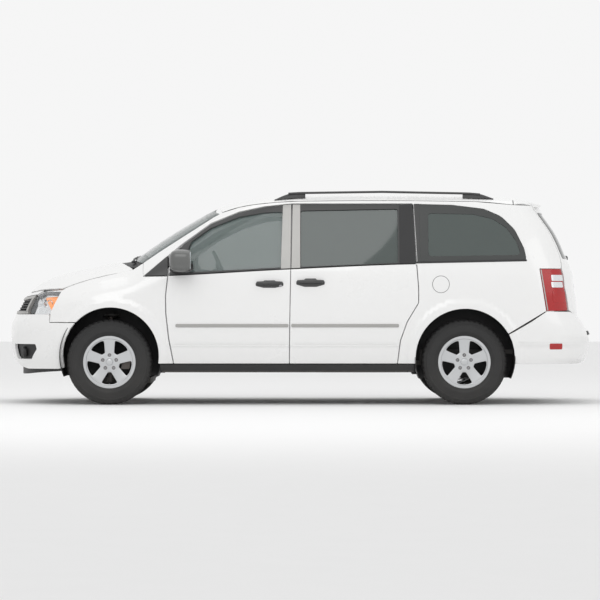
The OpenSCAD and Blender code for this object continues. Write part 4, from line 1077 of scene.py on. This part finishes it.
def cowl():
    """The slotted cover under the windshield, and the two wipers."""
    front = [(-1567, 0), (-1561, 207), (-1528, 407), (-1472, 607), (-1417, 700)]
    rear = [(-1352, 700), (-1366, 640), (-1399, 450), (-1424, 200), (-1444, 0)]
    half = front + rear
    loop = rounded(half + plan_mirrored(half[1:-1]), 8, 30)
    slots = [oblong(-1500, -1455, y, y + 26) for y in range(-300, 300, 60)]
    skin = panel([loop] + [rounded(s, 8) for s in slots], on_top, 18, -11, 2, 40)
    piece = skin.build("cowl_cover", "body", "black_plastic", BLACK_PLASTIC)
    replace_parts(piece, "cowl_panel")
    for i, (y0, y1) in enumerate(((-560, -30), (60, 620))):
        pivot = Vector((-1462 + (40 if i else 30), y0, 0))
        pivot.z = value_at(skin_top, pivot.x, abs(y0)) + 12
        z1 = 1262
        tip_x = value_at(front_x, abs(y1), z1) - 10
        tip = Vector((tip_x, y1, z1 + 2))
        mid = (pivot + tip) / 2 + Vector((-8, 0, 14))
        arm = tube([pivot, pivot.lerp(mid, 0.5) + Vector((0, 0, 6)), mid, mid.lerp(tip, 0.5), tip],
                   [9, 8, 6, 5, 4], 10, 0.7)
        blade = [mid.lerp(tip, t) + Vector((3, 0, -8)) for t in np.linspace(-0.55, 0.95, 12)]
        hub = lathe([(0, 0), (19, 0), (19, 16), (12, 24), (0, 24)], 24).moved(*(pivot - Vector((0, 0, 14))))
        wiper = together([arm, tube(blade, 5, 8), hub])
        wiper.build(f"wiper_{i + 1}", "body", "black_plastic", BLACK_PLASTIC)


# ---- front end ----


def wrapped(wrap, points):
    """Points of the side view (x, z) or the end view ("y", y, z), as places on the right half of a bumper."""
    places = []
    for p in points:
        z = p[-1]
        s = wrap.s_at_y(p[1], z) if p[0] == "y" else wrap.s_at(p[0], z)
        places.append((abs(s), z))
    return places


def front_end(y, z):
    """Length position of the bumper at a place of the end view."""
    s = on_nose.s_at_y(y, z)
    return on_nose(np.array([s]), np.array([float(z)]))[0][0]


def front_bumper():
    """The front bumper with its lower intake, fog lamps and air dam."""
    corner = [(arch_x(FRONT_ARCH, z, -1) - 2, z) for z in (695, 640, 560, 480, 416, 360, 312)]
    half = [("y", 640, 768), (-2330, 768), (-2140, 768), (-2137, 697)] + corner
    half += [(-2060, 302), (-2330, 300), (-2400, 320), ("y", 380, 364)]
    outline = rounded(two_sided(wrapped(on_nose, half)), 5, 30)
    intake_half = wrapped(on_nose, [("y", 352, 398), ("y", 372, 420), ("y", 352, 560)])
    intake = rounded(two_sided(intake_half), 16, 34)
    fog = wrapped(on_nose, [("y", 476, 384), ("y", 476, 512), (-2262, 512), (-2250, 470), (-2300, 384)])
    fogs = [rounded(fog, 16, 34), rounded(mirrored(fog), 16, 34)]
    skin = panel([outline, intake] + fogs, on_nose, 26, 0, 4, 34)
    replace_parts(skin.build("front_bumper_skin", "body", "white_paint", WHITE_PAINT), "front_bumper")
    mesh = panel([inset(as_outer(intake), -10)], on_nose, 6, -30, 2, 40)
    mesh.build("lower_intake_back", "body", "black_plastic", BLACK_PLASTIC)
    bars = []
    for z in (425, 465, 505, 540):
        reach = on_nose.s_at_y(350, z)
        bar = rounded(two_sided([(reach, z), (reach, z + 14)]) + [(0, z)], 5, 40)
        bars.append(panel([bar], on_nose, 16, -8, 3, 60))
    together(bars).build("lower_intake_bars", "body", "black_plastic", BLACK_PLASTIC)
    for which, loop in zip(("right", "left"), fogs):
        tray = panel([inset(as_outer(loop), -8)], on_nose, 6, -34, 2, 40)
        tray.build(f"{which}_fog_recess", "body", "black_plastic", BLACK_PLASTIC)
    y, z = 600, 446                     # the fog lamps' middle
    face = Matrix.Rotation(-math.pi / 2, 4, "Y")
    x = float(front_end(y, z)) + 42
    ring = lathe([(0, -6), (40, -6), (46, 6), (44, 22), (38, 24), (34, 12), (0, 6)], 48)
    both(ring.placed(face).moved(x, -y, z), "{}_fog_lamp", "body", "lamp_lens", BLACK_PLASTIC)
    glass = lathe([(0, 14), (38, 14), (38, 18), (20, 23), (0, 25)], 48)
    both(glass.placed(face).moved(x, -y, z), "{}_fog_lens", "body", "lamp_lens", CLEAR_LENS)
    dam_half = wrapped(on_nose, [(-2400, 330), (-2060, 308), (-2060, 262), (-2390, 250)])
    dam = as_outer(rounded(two_sided(dam_half), 8, 40))
    panel([dam], on_nose, 16, -60, 4, 50).build("air_dam", "body", "black_plastic", BLACK_PLASTIC)


def grille():
    """The bright frame, and the bars and slats in it."""
    half = [(650, 771), (522, 935), (300, 921), (0, 915)]
    outline = as_outer(rounded(half + mirrored(half[:-1]), 10, 34))
    hole = inset(outline, 26)
    rim = panel([outline, hole[::-1]], on_front, 30, -2, 4, 34)
    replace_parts(rim.build("grille_frame", "body", "mirror_shell", SILVER_TRIM), "grille")
    back = panel([inset(outline, 12)], on_front, 6, -34, 2, 40)
    back.build("grille_back", "body", "black_plastic", BLACK_PLASTIC)
    bars = []
    for z in (800, 822, 844, 866, 888, 906):
        wide = float(np.interp(z, [771, 935], [612, 500]))
        loop = as_outer(rounded(two_sided([(wide, z), (wide, z + 9)]), 3, 40))
        bars.append(panel([loop], on_front, 18, -12, 2.5, 60))
    for y in range(-480, 481, 80):
        loop = as_outer(rounded(oblong(y - 4, y + 4, 798, 908), 2, 40))
        bars.append(panel([loop], on_front, 14, -18, 2, 60))
    together(bars).build("grille_bars", "body", "black_plastic", BLACK_PLASTIC)


def nose_band():
    """The painted lip between the grille and the hood."""
    top = [(545, 974), (380, 958), (200, 949), (0, 948)]
    low = [(0, 920), (300, 926), (524, 940)]
    outline = low + top + mirrored(top[:-1]) + mirrored(low[1:])
    band = panel([as_outer(rounded(outline, 6, 30))], on_front, 20, -1, 3, 34)
    band.build("nose_lip", "body", "white_paint", WHITE_PAINT)


def headlights():
    """The headlights: housing, bowls, turn lamp, lens and border."""
    edge = [(-2036, 970), (-2127, 786), (-2135, 772), (-2312, 772), (-2282, 860), (-2248, 938), (-2190, 968)]
    outline = as_outer(rounded(edge, 10, 20))
    housing = panel([outline], on_side, 50, -44, 4, 34)
    pieces = both(housing, "{}_headlight_housing", "body", "lamp_lens", LAMP_CHROME)
    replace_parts(pieces[0], "headlights")
    bowls = []
    for x, z, r in ((-2235, 850, 50), (-2160, 850, 42)):
        y = -value_at(half_width, x, z)
        bowl = lathe([(r * 0.2, -26), (r * 0.55, -20), (r * 0.9, 0), (r, 4), (r, -4), (r * 0.92, -8),
                      (r * 0.5, -28), (r * 0.2, -32)], 40)
        turn = Matrix.Rotation(math.radians(-52), 4, "Z") @ Matrix.Rotation(math.radians(90), 4, "X")
        bowls.append(bowl.placed(turn).moved(x + 22, y + 34, z))
    both(together(bowls), "{}_headlight_bowls", "body", "lamp_lens", CHROME)
    amber = [(-2196, 930), (-2070, 940), (-2108, 818), (-2128, 800)]
    both(patch(amber, 6, -26, 12, 2), "{}_turn_lamp", "body", "lamp_lens", AMBER_LENS)
    both(panel([outline], on_side, 4, -1, 1.5, 34), "{}_headlight_lens", "body", "lamp_lens", CLEAR_LENS)
    border = [(-2040, 968), (-2062, 930), (-2190, 944), (-2236, 918), (-2252, 938), (-2190, 966)]
    both(patch(border, 4, -7, 8, 1), "{}_headlight_border", "body", "black_plastic", FRAME_BLACK)


# ---- rear end ----


def liftgate():
    """The liftgate: skin, plate recess, glass, handle, wiper, lining and high lamp."""
    half = [(y - GAP, z) for y, z in zip(GATE_Y, GATE_Z)]
    outline = as_outer(rounded(two_sided(half), 10, 34))
    window = as_outer(rounded(two_sided([(618, 1272), (572, 1628)]), 30, 34))
    recess = as_outer(rounded(two_sided([(270, 800), (270, 985)]), 18, 34))
    lower = panel([outline, window, recess], on_back, 30, 0, 4, 34)
    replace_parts(lower.build("liftgate_skin", "liftgate", "white_paint", WHITE_PAINT), "liftgate")
    pan = panel([inset(recess, -6)], on_back, 5, -26, 1.5, 40)
    pan.build("plate_recess", "liftgate", "white_paint", WHITE_PAINT)
    plate = as_outer(rounded(two_sided([(255, 812), (255, 930)]), 12, 60))
    panel([plate], on_back, 4, -18, 1.5, 60).build("blank_plate", "liftgate", "lamp_lens", PLATE_BLANK)
    band = as_outer(rounded(two_sided([(690, 1240), (680, 1290), (650, 1500), (630, 1640)]), 24, 34))
    border = panel([inset(band, 2), window], on_back, 6, 2.5, 1.5, 34)
    border.build("rear_glass_border", "liftgate", "privacy_glass", FRIT)
    glass = panel([inset(window, -4)], on_back, 5, -2, 1, 40)
    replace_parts(glass.build("rear_glass", "liftgate", "privacy_glass", DARK_GLASS), "liftgate_glass")
    grip = as_outer(rounded(two_sided([(215, 990), (215, 1030)]), 14, 40))
    panel([grip], on_back, 22, 12, 7, 40).build("gate_handle", "liftgate", "mirror_shell", MIRROR_SHELL)
    x = value_at(back_x, 0, 1256)
    hub = lathe([(0, 0), (22, 0), (22, 30), (14, 40), (0, 40)], 24).placed(BACKWARD)
    arm_points = [(value_at(back_x, y, z) + 14, y, z)
                  for y, z in ((0, 1256), (70, 1292), (170, 1330), (330, 1352))]
    blade = [(value_at(back_x, y, z) + 9, y, z)
             for y, z in zip(np.linspace(60, 430, 9), np.linspace(1318, 1360, 9))]
    wiper = together([hub.moved(x, 0, 1256), tube(arm_points, [9, 7, 6, 5], 10), tube(blade, 6, 8)])
    wiper.build("rear_wiper", "liftgate", "black_plastic", BLACK_PLASTIC)
    lining = as_outer(rounded(two_sided([(560, 680), (640, 980), (600, 1200)]), 40, 80))
    panel([lining], on_back, 20, -40, 6, 80).build("gate_lining", "liftgate", "dash_plastic", DASH_PLASTIC)
    stop = as_outer(rounded(two_sided([(150, 1662), (150, 1680)]), 6, 60))
    panel([stop], on_back, 8, 5, 2.5, 60).build("high_stop_lamp", "liftgate", "tail_lens", RED_LENS)


def spoiler():
    """The blade over the rear glass."""
    rows = []
    for x, thick in ((1830, 12), (1880, 32), (1940, 34), (2000, 32), (2050, 26), (2084, 16)):
        top = [(x - 20 * (abs(y) / 640) ** 3, y, float(crown(x)) - 30 * (abs(y) / 640) ** 3)
               for y in np.linspace(-632, 632, 41)]
        rows.append(top + [(bx, by, bz - thick) for bx, by, bz in reversed(top)])
    rings(rows).build("roof_spoiler", "liftgate", "white_paint", WHITE_PAINT, 50)


def tail_lamps():
    """The tail lamps with their two clear windows and the reflector."""
    housing = as_outer(rounded(LAMP, 14, 26))
    pieces = both(panel([housing], on_side, 40, 0, 3, 34), "{}_tail_lamp", "body", "tail_lens", RED_LENS)
    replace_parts(pieces[0], "taillights")
    for i, (z0, z1) in enumerate(((1052, 1104), (996, 1044)), 1):
        window = [(2140, z0), (2134, z1), (2234, z1), (2244, z0)]
        back, lens = patch(window, 4, 2, 10, 1.5), patch(window, 3, 4.5, 10, 1.2)
        both(back, "{}_tail_window_" + str(i), "body", "lamp_lens", LAMP_CHROME)
        both(lens, "{}_tail_window_lens_" + str(i), "body", "lamp_lens", CLEAR_LENS)
    both(patch([(2150, 868), (2146, 977), (2256, 977), (2266, 868)], 4, 3, 26, 1.5), "{}_tail_reflector",
         "body", "tail_lens", RED_LENS)
    both(patch([(2042, 1150), (2099, 801), (2109, 801), (2052, 1150)], 4, 1.5, 3, 1), "{}_tail_edge", "body",
         "tail_lens", SILVER_TRIM)


def rear_bumper():
    """The rear bumper with its step pad, crease and reflectors."""
    half = [("y", 606, 642), ("y", 646, 742), ("y", 780, 791), (2096, 793), (1786, 603)]
    half += [(arch_x(REAR_ARCH, z, 1) + 2, z) for z in (596, 540, 470, 396, 346)]
    outline = as_outer(rounded(two_sided(wrapped(on_tail, half)), 10, 34))
    skin = panel([outline], on_tail, 26, 0, 4, 34)
    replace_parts(skin.build("rear_bumper_skin", "body", "white_paint", WHITE_PAINT), "rear_bumper")
    reach = on_tail.s_at_y(600, 608)
    pad = as_outer(rounded(oblong(-reach, reach, 592, 624), 10, 40))
    panel([pad], on_tail, 9, 5, 3, 50).build("step_pad", "body", "black_plastic", BLACK_PLASTIC)
    reach = abs(on_tail.s_at(1800, 535))
    line = as_outer(rounded(oblong(-reach, reach, 531, 537), 2, 60))
    panel([line], on_tail, 4, 1, 1, 60).build("bumper_crease", "body", "white_paint", WHITE_PAINT)
    spot = wrapped(on_tail, [(2120, 470), (2120, 520), (2230, 520), (2230, 470)])
    for which, sign in (("right", 1), ("left", -1)):
        loop = as_outer(rounded([(sign * s, z) for s, z in spot], 12, 40))
        panel([loop], on_tail, 5, 2, 1.5, 50).build(f"{which}_rear_reflector", "body", "tail_lens", RED_LENS)


# ---- mirrors ----


def mirrors():
    """The door mirrors: shell, glass, dark base and foot."""
    centre = np.array([-1000, -1065, 1222])
    shell = blob(centre, (104, 112, 94), 3.2, 48, 32)
    shell.points[:, 0] = np.minimum(shell.points[:, 0], centre[0] + 74)
    shell.points[:, 2] += (shell.points[:, 1] - centre[1]) * 0.06
    pieces = both(shell, "{}_mirror_shell", "{}_front_door", "mirror_shell", MIRROR_SHELL)
    hides(pieces, "left_mirror", "right_mirror")
    rim = rounded(oblong(-92, 92, -76, 74), 34, 14)
    upright = Matrix.Rotation(math.pi / 2, 4, "Z")
    glass = prism(rim, 0, 5, 2).placed(BACKWARD @ upright)
    both(glass.moved(centre[0] + 73, centre[1], centre[2]), "{}_mirror_glass", "{}_front_door",
         "mirror_shell", MIRROR_GLASS)
    lower = blob(centre + [2, 6, -52], (98, 104, 46), 3.0, 40, 20)
    both(lower, "{}_mirror_base", "{}_front_door", "black_plastic", BLACK_PLASTIC)
    sections = []
    for t in np.linspace(0, 1, 8):
        y = -872 - 120 * t
        w, h = 32 - 6 * t, 22 - 2 * t
        x, z = -1077 + 20 * t, 1146 + 12 * t
        sections.append([(x + w * math.cos(a), y, z + h * math.sin(a)) for a in round_angles(23)])
    both(rings(sections), "{}_mirror_foot", "{}_front_door", "black_plastic", BLACK_PLASTIC)


# ---- wheels ----

FACE_LINE = [(0, 80), (60, 80), (90, 76), (150, 82), (200, 92)]     # radius and depth of the wheel's face
SPOKES = [90, 18, -54, -126, 162]       # the angles of the five spokes
NUT_CIRCLE = 60                         # the nuts' distance from the axle


def wheel_face(x, y):
    """The wheel's outer face over its own plane."""
    r = np.hypot(x, y)
    return np.stack([x, y, np.interp(r, [p[0] for p in FACE_LINE], [p[1] for p in FACE_LINE])], -1)


def face_normals(surface, uv):
    """The wheel's face shades as a flat one."""
    return np.tile([0.0, 0.0, 1.0], (len(uv), 1))


def wheel_window(angle):
    """One of the five openings, between the spokes at angle and angle + 72."""
    mid = math.radians(angle + 36)
    wide_in, wide_out = math.radians(9.6), math.radians(21.4)
    points = [(88, -wide_in), (88, wide_in), (128, wide_in * 1.75), (188, wide_out), (190, wide_out * 0.5),
              (190, 0), (190, -wide_out * 0.5), (188, -wide_out), (128, -wide_in * 1.75)]
    return rounded([(r * math.cos(mid + a), r * math.sin(mid + a)) for r, a in points], 13, 12)


def rim_parts():
    """The alloy rim, its nuts with the valve, and dark rings round the nuts that paint the shade of their
    wells. +Z is outward.
    """
    face = panel([circle(201, 96)] + [wheel_window(a) for a in SPOKES], wheel_face, 20, 0, 3, 26,
                 face_normals)
    barrel = lathe([(196, 92), (200, 100), (210, 102), (222, 100), (226, 94), (223, 86), (212, 80),
                    (207, 60), (205, 20), (212, -40), (216, -84), (226, -90), (226, -95), (214, -96),
                    (206, -86), (203, -40), (196, 20), (198, 60), (196, 80)], 120)
    hub = lathe([(0, 60), (54, 60), (62, 20), (62, -8), (0, -8)], 60)
    cap = lathe([(0, 92), (20, 91), (26, 88), (28, 80), (28, 74), (0, 74)], 48)
    dish = lathe([(30, 81), (34, 83), (40, 83), (46, 81), (46, 76), (30, 76)], 60)
    alloy = together([Shape(face.points, face.faces), barrel, hub, cap, dish])
    nuts, wells = [], []
    for a in SPOKES:
        at = math.radians(a)
        nut = lathe([(0, 78), (10, 78), (10, 92), (7, 95), (0, 95)], 6)
        # a dark ring round each nut: painted shade for the well it sits in, since the face has no recess
        # there
        well_shade = lathe(oblong(10.5, 15, 79, 81.4), 24)
        nuts.append(nut.moved(NUT_CIRCLE * math.cos(at), NUT_CIRCLE * math.sin(at), -4))
        wells.append(well_shade.moved(NUT_CIRCLE * math.cos(at), NUT_CIRCLE * math.sin(at)))
    valve = tube([(0, -192, 70), (0, -186, 84), (0, -184, 96)], [4, 4, 3.4], 10)
    return alloy, together(nuts + [valve]), together(wells)


def tyre():
    """The tyre with its grooves, tread blocks and a plain rib on the side wall."""
    r = TYRE_R
    profile = [(206, -86), (226, -99), (250, -108), (290, -112), (320, -109), (r - 22, -100), (r - 8, -88),
               (r - 1, -76), (r, -52), (r, -50), (r - 8, -49), (r - 8, -41), (r, -40), (r, -6), (r - 8, -5),
               (r - 8, 5), (r, 6), (r, 40), (r - 8, 41), (r - 8, 49), (r, 50), (r, 52), (r - 1, 76),
               (r - 8, 88), (r - 22, 100), (r - 40, 107), (r - 42, 109), (r - 50, 109.5), (r - 52, 108),
               (290, 111), (268, 111.5), (262, 113), (254, 112), (250, 109), (226, 100), (206, 87)]

    def tread(i, j):
        radius, height = profile[j][0], abs(profile[j][1])
        if radius < r - 9 or radius < r - 7 and height < 60:
            return 0
        shift = (i + int(height / 9)) % 9
        if height > 50:
            return -6.5 if shift < 2 else 0
        return -4.0 if shift == 0 and radius > r - 3 else 0

    return lathe(profile, 432, True, tread)


def wheels():
    """Four wheels, made once and placed at each end of both axles."""
    alloy, nuts, wells = rim_parts()
    parts = [("tyre_skin", tyre(), "tyre_rubber", TYRE_RUBBER, "tyre"),
             ("alloy", alloy, "rim_alloy", RIM_ALLOY, "rim"),
             ("nuts", nuts, "rim_alloy", NUT_STEEL, None),
             # the dark rings round the nuts are painted shade
             ("wells", wells, "rim_alloy", BRAKE_IRON, None)]
    for end, x in (("front", FRONT_AXLE), ("rear", REAR_AXLE)):
        place = Matrix.Translation((x, -WHEEL_Y, TYRE_R)) @ SIDEWAYS
        for which in ("left", "right"):
            name = f"{end}_{which}"
            for part, shape, slot, material, node in parts:
                made = shape.placed(place)
                made = made if which == "left" else made.mirrored()
                piece = made.build(f"{name}_{part}", f"{name}_wheel", slot, material, 32)
                if node:
                    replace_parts(piece, f"{name}_{node}")


# ---- interior ----

CUSHION_CELL = 0.024     # metres between the cloth's points
HEADREST_CELL = 0.018
BLOWN_FRAMES = 20                       # how long the cloth is blown up
SLACK = 18                              # a cushion is drawn this much smaller, and swells to its size
# the steering column's axis, with the wheel's hub at its origin
COLUMN = Matrix.Translation((-675, -380, 1150)) @ Matrix.Rotation(math.radians(64.5), 4, "Y")


def stuffed(shape, name, cap, cell):
    """A cushion as cloth blown up by a light pressure. No point moves by more than cap, in metres."""
    piece = shape.build(name, "body", "seat_cloth", SEAT_CLOTH, 60)
    remesh = piece.modifiers.new("even", "REMESH")
    remesh.mode = "VOXEL"
    remesh.voxel_size = cell
    remesh.use_smooth_shade = True
    bpy.context.view_layer.objects.active = piece
    bpy.ops.object.modifier_apply(modifier=remesh.name)
    cloth = piece.modifiers.new("blown", "CLOTH")
    cloth.settings.quality = 4
    cloth.settings.mass = 0.3
    cloth.settings.use_pressure = True
    cloth.settings.uniform_pressure_force = 4
    cloth.settings.effector_weights.gravity = 0
    cloth.point_cache.frame_end = BLOWN_FRAMES
    before = np.array([v.co[:] for v in piece.data.vertices])
    for i in range(1, BLOWN_FRAMES + 1):
        bpy.context.scene.frame_set(i)
    view = piece.evaluated_get(bpy.context.evaluated_depsgraph_get())
    after = np.array([v.co[:] for v in view.data.vertices])
    piece.modifiers.remove(cloth)
    move = after - before
    far = np.linalg.norm(move, axis=1)[:, None]
    move *= np.minimum(1, cap / np.maximum(far, 1e-9))
    piece.data.vertices.foreach_set("co", (before + move).ravel())
    bpy.context.scene.frame_set(1)
    smooth = piece.modifiers.new("smooth", "SUBSURF")
    smooth.levels = smooth.render_levels = 1
    bpy.ops.object.modifier_apply(modifier=smooth.name)
    return piece


def copied(piece, name, x, y):
    """A copy of a piece, moved in millimetres."""
    other = piece.copy()
    other.data = piece.data.copy()
    other.name = name
    bpy.context.collection.objects.link(other)
    co = np.array([v.co[:] for v in other.data.vertices])
    co = co + [x * MM, y * MM, 0]
    other.data.vertices.foreach_set("co", co.ravel())
    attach(other, "body")
    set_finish(other, piece["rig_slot"])
    return other


def chair_shapes(x, z, width, back_high, rests):
    """A seat's cushion, back and headrests with its underside at z, and the matrix its back leans by."""
    wide = width / 2 - SLACK
    cushion = block(x + SLACK, x + 480 - SLACK, -wide, wide, z + SLACK, z + 130 - SLACK, 50, 34)
    lean = Matrix.Translation((x + 440, 0, z + 60)) @ Matrix.Rotation(math.radians(14), 4, "Y")
    back = block(-55 + SLACK, 55 - SLACK, 5 - wide, wide - 5, 10, back_high - SLACK, 36, 26)
    heads = [block(-35, 35, y - 108, y + 108, back_high + 38, back_high + 172, 30, 24).placed(lean)
             for y in rests]
    return cushion, back.placed(lean), heads, lean


def chair_hard(x, z, width, back_high, rests, lean, riser):
    """A seat's headrest posts and its base."""
    posts = []
    for y in [middle + offset for middle in rests for offset in (-55, 55)]:
        foot, top = (lean @ Vector((0, y, back_high + rise)) for rise in (-60, 60))
        posts.append(tube([foot, top], 6, 12))
    base = block(x + 60, x + 420, -width / 2 + 50, width / 2 - 50, z - riser, z - 2, 16, 5)
    return together(posts), base


def seat(name, x, y0, z, width, back_high, rests, riser, others):
    """One seat, simulated once and copied to the other places; the first piece stands for the CAD nodes."""
    cushion, back, heads, lean = chair_shapes(x, z, width, back_high, rests)
    made = [stuffed(cushion, f"{name}_cushion", 0.026, CUSHION_CELL),
            stuffed(back, f"{name}_back", 0.022, CUSHION_CELL)]
    made += [stuffed(h, f"{name}_headrest_{i + 1}", 0.012, HEADREST_CELL) for i, h in enumerate(heads)]
    posts, base = chair_hard(x, z, width, back_high, rests, lean, riser)
    hard = [posts.build(f"{name}_posts", "body", "dark_steel", CHROME),
            base.build(f"{name}_base", "body", "dash_plastic", DASH_PLASTIC)]
    for tag, dx, dy in others:
        for piece in made + hard:
            twin = copied(piece, piece.name.replace(name, f"{name}_{tag}"), dx, dy)
    if y0:
        for piece in made + hard:
            co = np.array([v.co[:] for v in piece.data.vertices]) + [0, y0 * MM, 0]
            piece.data.vertices.foreach_set("co", co.ravel())
    return made


def seats():
    """Four single seats and the bench behind them."""
    places = [("left_middle", 750, -380), ("right_middle", 750, 380), ("right_front", 0, 380)]
    front = seat("seat", -590, -380, 630.3, 500, 640, [0], 280, places)
    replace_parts(front[0], "front_seats", "middle_seats")
    bench = seat("bench", 1230, 0, 645.3, 1180, 620, [-380, 0, 380], 150, [])
    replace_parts(bench[0], "rear_bench")


def dashboard():
    """The dashboard with its hood, stack and vents, and the steering column."""
    side_view = rounded([(-1128, 702), (-1128, 1056), (-1002, 1117), (-862, 1108), (-804, 1040), (-834, 850),
                         (-902, 702)], 34, 30)
    dash = prism(as_outer(side_view), -758, 758, 14).placed(SIDEWAYS)
    piece = dash.build("dash_body", "body", "dash_plastic", DASH_PLASTIC)
    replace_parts(piece, "dashboard")
    cluster = blob((-850, -380, 1108), (90, 190, 46), 3.0, 40, 20)
    cluster.build("instrument_hood", "body", "dash_plastic", DASH_PLASTIC)
    stack = block(-822, -796, -120, 120, 860, 1050, 16, 6)
    stack.build("centre_stack", "body", "dash_plastic", BLACK_PLASTIC)
    vents = [block(-812, -792, y - 62, y + 62, 1000, 1044, 12, 5) for y in (-660, 660)]
    together(vents).build("dash_vents", "body", "dash_plastic", BLACK_PLASTIC)
    column = lathe([(0, -225), (34, -225), (38, -40), (0, -40)], 32).placed(COLUMN)
    column.build("steering_column", "body", "dash_plastic", BLACK_PLASTIC)


def steering_wheel():
    """The hoop, boss and three arms, on the column's axis."""
    radius, thick = 170, 14
    sections = []
    for a in round_angles(72):
        around = [(radius + thick * math.cos(b), thick * math.sin(b)) for b in round_angles(16)]
        sections.append([(r * math.cos(a), r * math.sin(a), z) for r, z in around])
    hoop = rings(sections, closed=True)
    boss = blob((0, 0, -14), (78, 70, 26), 2.8, 36, 18)
    arms = [tube([(60 * math.cos(a), 60 * math.sin(a), -16), (164 * math.cos(a), 164 * math.sin(a), -3)],
                 [17, 12], 14, 0.5) for a in (math.radians(90), math.radians(-90), math.radians(0))]
    wheel = together([hoop, boss] + arms).placed(COLUMN)
    piece = wheel.build("steering_rim", "steering_wheel", "dash_plastic", BLACK_PLASTIC)
    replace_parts(piece, "steering_wheel")


def cabin_trim():
    """Carpet, the inside mirror and the lining of the tail."""
    carpet = block(-1090, 1120, -700, 700, 366, 372, 40, 2)
    carpet.build("front_carpet", "body", "seat_cloth", CARPET)
    mirror = blob((-500, 0, 1600), (22, 120, 34), 3.4, 36, 16)
    stalk = tube([(-520, 0, 1612), (-552, 0, 1655), (-585, 0, 1680)], 8, 12)
    together([mirror, stalk]).build("inside_mirror", "body", "dash_plastic", BLACK_PLASTIC)
    lining = [(1100, 850), (1900, 850), (1990, 880), (2030, 1150), (1100, 1130)]
    both(patch(lining, 12, -46, 40, 4, 80), "{}_cargo_trim", "body", "dash_plastic", DASH_PLASTIC)


# ---- under the body and under the hood ----


def chassis():
    """The CAD nodes that keep their own shape get a finish."""
    steel = ("floor_pan", "firewall", "front_rails", "front_subframe", "rear_axle")
    finishes = [(DARK_STEEL, steel), (CAST_METAL, ("engine_block", "radiator")),
                (BRAKE_IRON, ("left_knuckle", "right_knuckle"))]
    for material, node in [(material, node) for material, nodes in finishes for node in nodes]:
        obj = bpy.data.objects.get(node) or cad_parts[node]
        for slot in obj.material_slots:
            slot.link = "OBJECT"
            slot.material = material


def underside():
    """The fuel tank and the exhaust, up against the floor."""
    low, high = (np.array(v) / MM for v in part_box("fuel_tank"))
    tank = block(low[0] - SHIFT, high[0] - SHIFT, low[1], high[1], max(low[2], 268), high[2], 50, 22)
    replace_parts(tank.build("tank_shell", "body", "tank_plastic", BLACK_PLASTIC), "fuel_tank")
    low, high = (np.array(v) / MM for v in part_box("exhaust"))
    x0, x1, y = low[0] - SHIFT, high[0] - SHIFT, (low[1] + high[1]) / 2
    pipe = tube([(x0, y, 290), (x0 + 400, y, 280), (700, y, 280), (950, y, 300), (1150, y, 500),
                 (1500, y, 500), (1650, y, 385), (x1 - 30, y, 372)], 22, 16)
    muffler = blob((1860, y, 388), (170, 95, 36), 4.5, 40, 24)
    piece = together([pipe, muffler]).build("exhaust_line", "body", "exhaust_steel", EXHAUST_STEEL)
    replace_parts(piece, "exhaust")


def engine_top():
    """The cover and the filler's cap on the engine."""
    low, high = (np.array(v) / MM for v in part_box("engine_block"))
    x0, x1 = low[0] - SHIFT + 60, high[0] - SHIFT - 60
    cover = block(x0, x1, -190, 190, high[2] - 2, high[2] + 34, 30, 10)
    cover.build("engine_cover", "body", "engine_metal", BLACK_PLASTIC)
    cap = lathe([(0, 0), (26, 0), (30, 6), (30, 20), (24, 26), (0, 26)], 32)
    cap.moved((x0 + x1) / 2, -240, high[2] - 2).build("filler_cap", "body", "engine_metal", RAIL_BLACK)


# ---- stage ----


def soft_light(name, place, aim, size, power):
    """A broad lamp at a place, turned towards another."""
    light = bpy.data.lights.new(name, "AREA")
    light.shape = "RECTANGLE"
    light.size, light.size_y = size
    light.energy = power
    obj = bpy.data.objects.new(name, light)
    obj.location = place
    obj.rotation_euler = (Vector(aim) - Vector(place)).to_track_quat("-Z", "Y").to_euler()
    bpy.context.collection.objects.link(obj)
    return obj


def stage():
    """A pale floor, white surroundings, three soft lights and the camera."""
    floor_material = finish("pale_floor", (0.86, 0.86, 0.86), (0.84, 0.84, 0.84), (0.7, 0.8),
                            grain=(40, 0.02))
    mesh = bpy.data.meshes.new("floor")
    mesh.from_pydata([(-40, -40, 0), (40, -40, 0), (40, 40, 0), (-40, 40, 0)], [], [(0, 1, 2, 3)])
    mesh.materials.append(floor_material)
    ground = bpy.data.objects.new("floor", mesh)
    bpy.context.collection.objects.link(ground)
    world = bpy.data.worlds.new("studio")
    world.use_nodes = True
    sky = world.node_tree.nodes["Background"]
    sky.inputs["Color"].default_value = (1, 1, 1, 1)
    sky.inputs["Strength"].default_value = 0.92
    bpy.context.scene.world = world
    lights = [soft_light("key", (-2, -7, 6), (0, 0, 0.8), (6, 4), 110),
              soft_light("fill", (6, -5, 4), (0, 0, 0.8), (4, 4), 40),
              soft_light("top", (0, 0, 8), (0, 0, 0), (8, 5), 70)]
    camera_data = bpy.data.cameras.new("camera")
    camera_data.lens = 190.6
    camera_data.sensor_width = 36
    camera = bpy.data.objects.new("camera", camera_data)
    camera.location = (0.0065, -27.9, 0.89)
    camera.rotation_euler = (math.pi / 2, 0, 0)
    bpy.context.collection.objects.link(camera)
    bpy.context.scene.camera = camera
    bpy.context.scene.view_settings.view_transform = "Standard"


# ---- the van ----

for make in (front_doors, sliding_doors, body_sides, fuel_door, fenders, sills, wheel_housings, roof,
             roof_rails, hood, windshield, cowl, front_bumper, grille, nose_band, headlights, liftgate,
             spoiler, tail_lamps, rear_bumper, mirrors, wheels, seats, dashboard, steering_wheel,
             cabin_trim, underside, engine_top, chassis, stage):
    make()
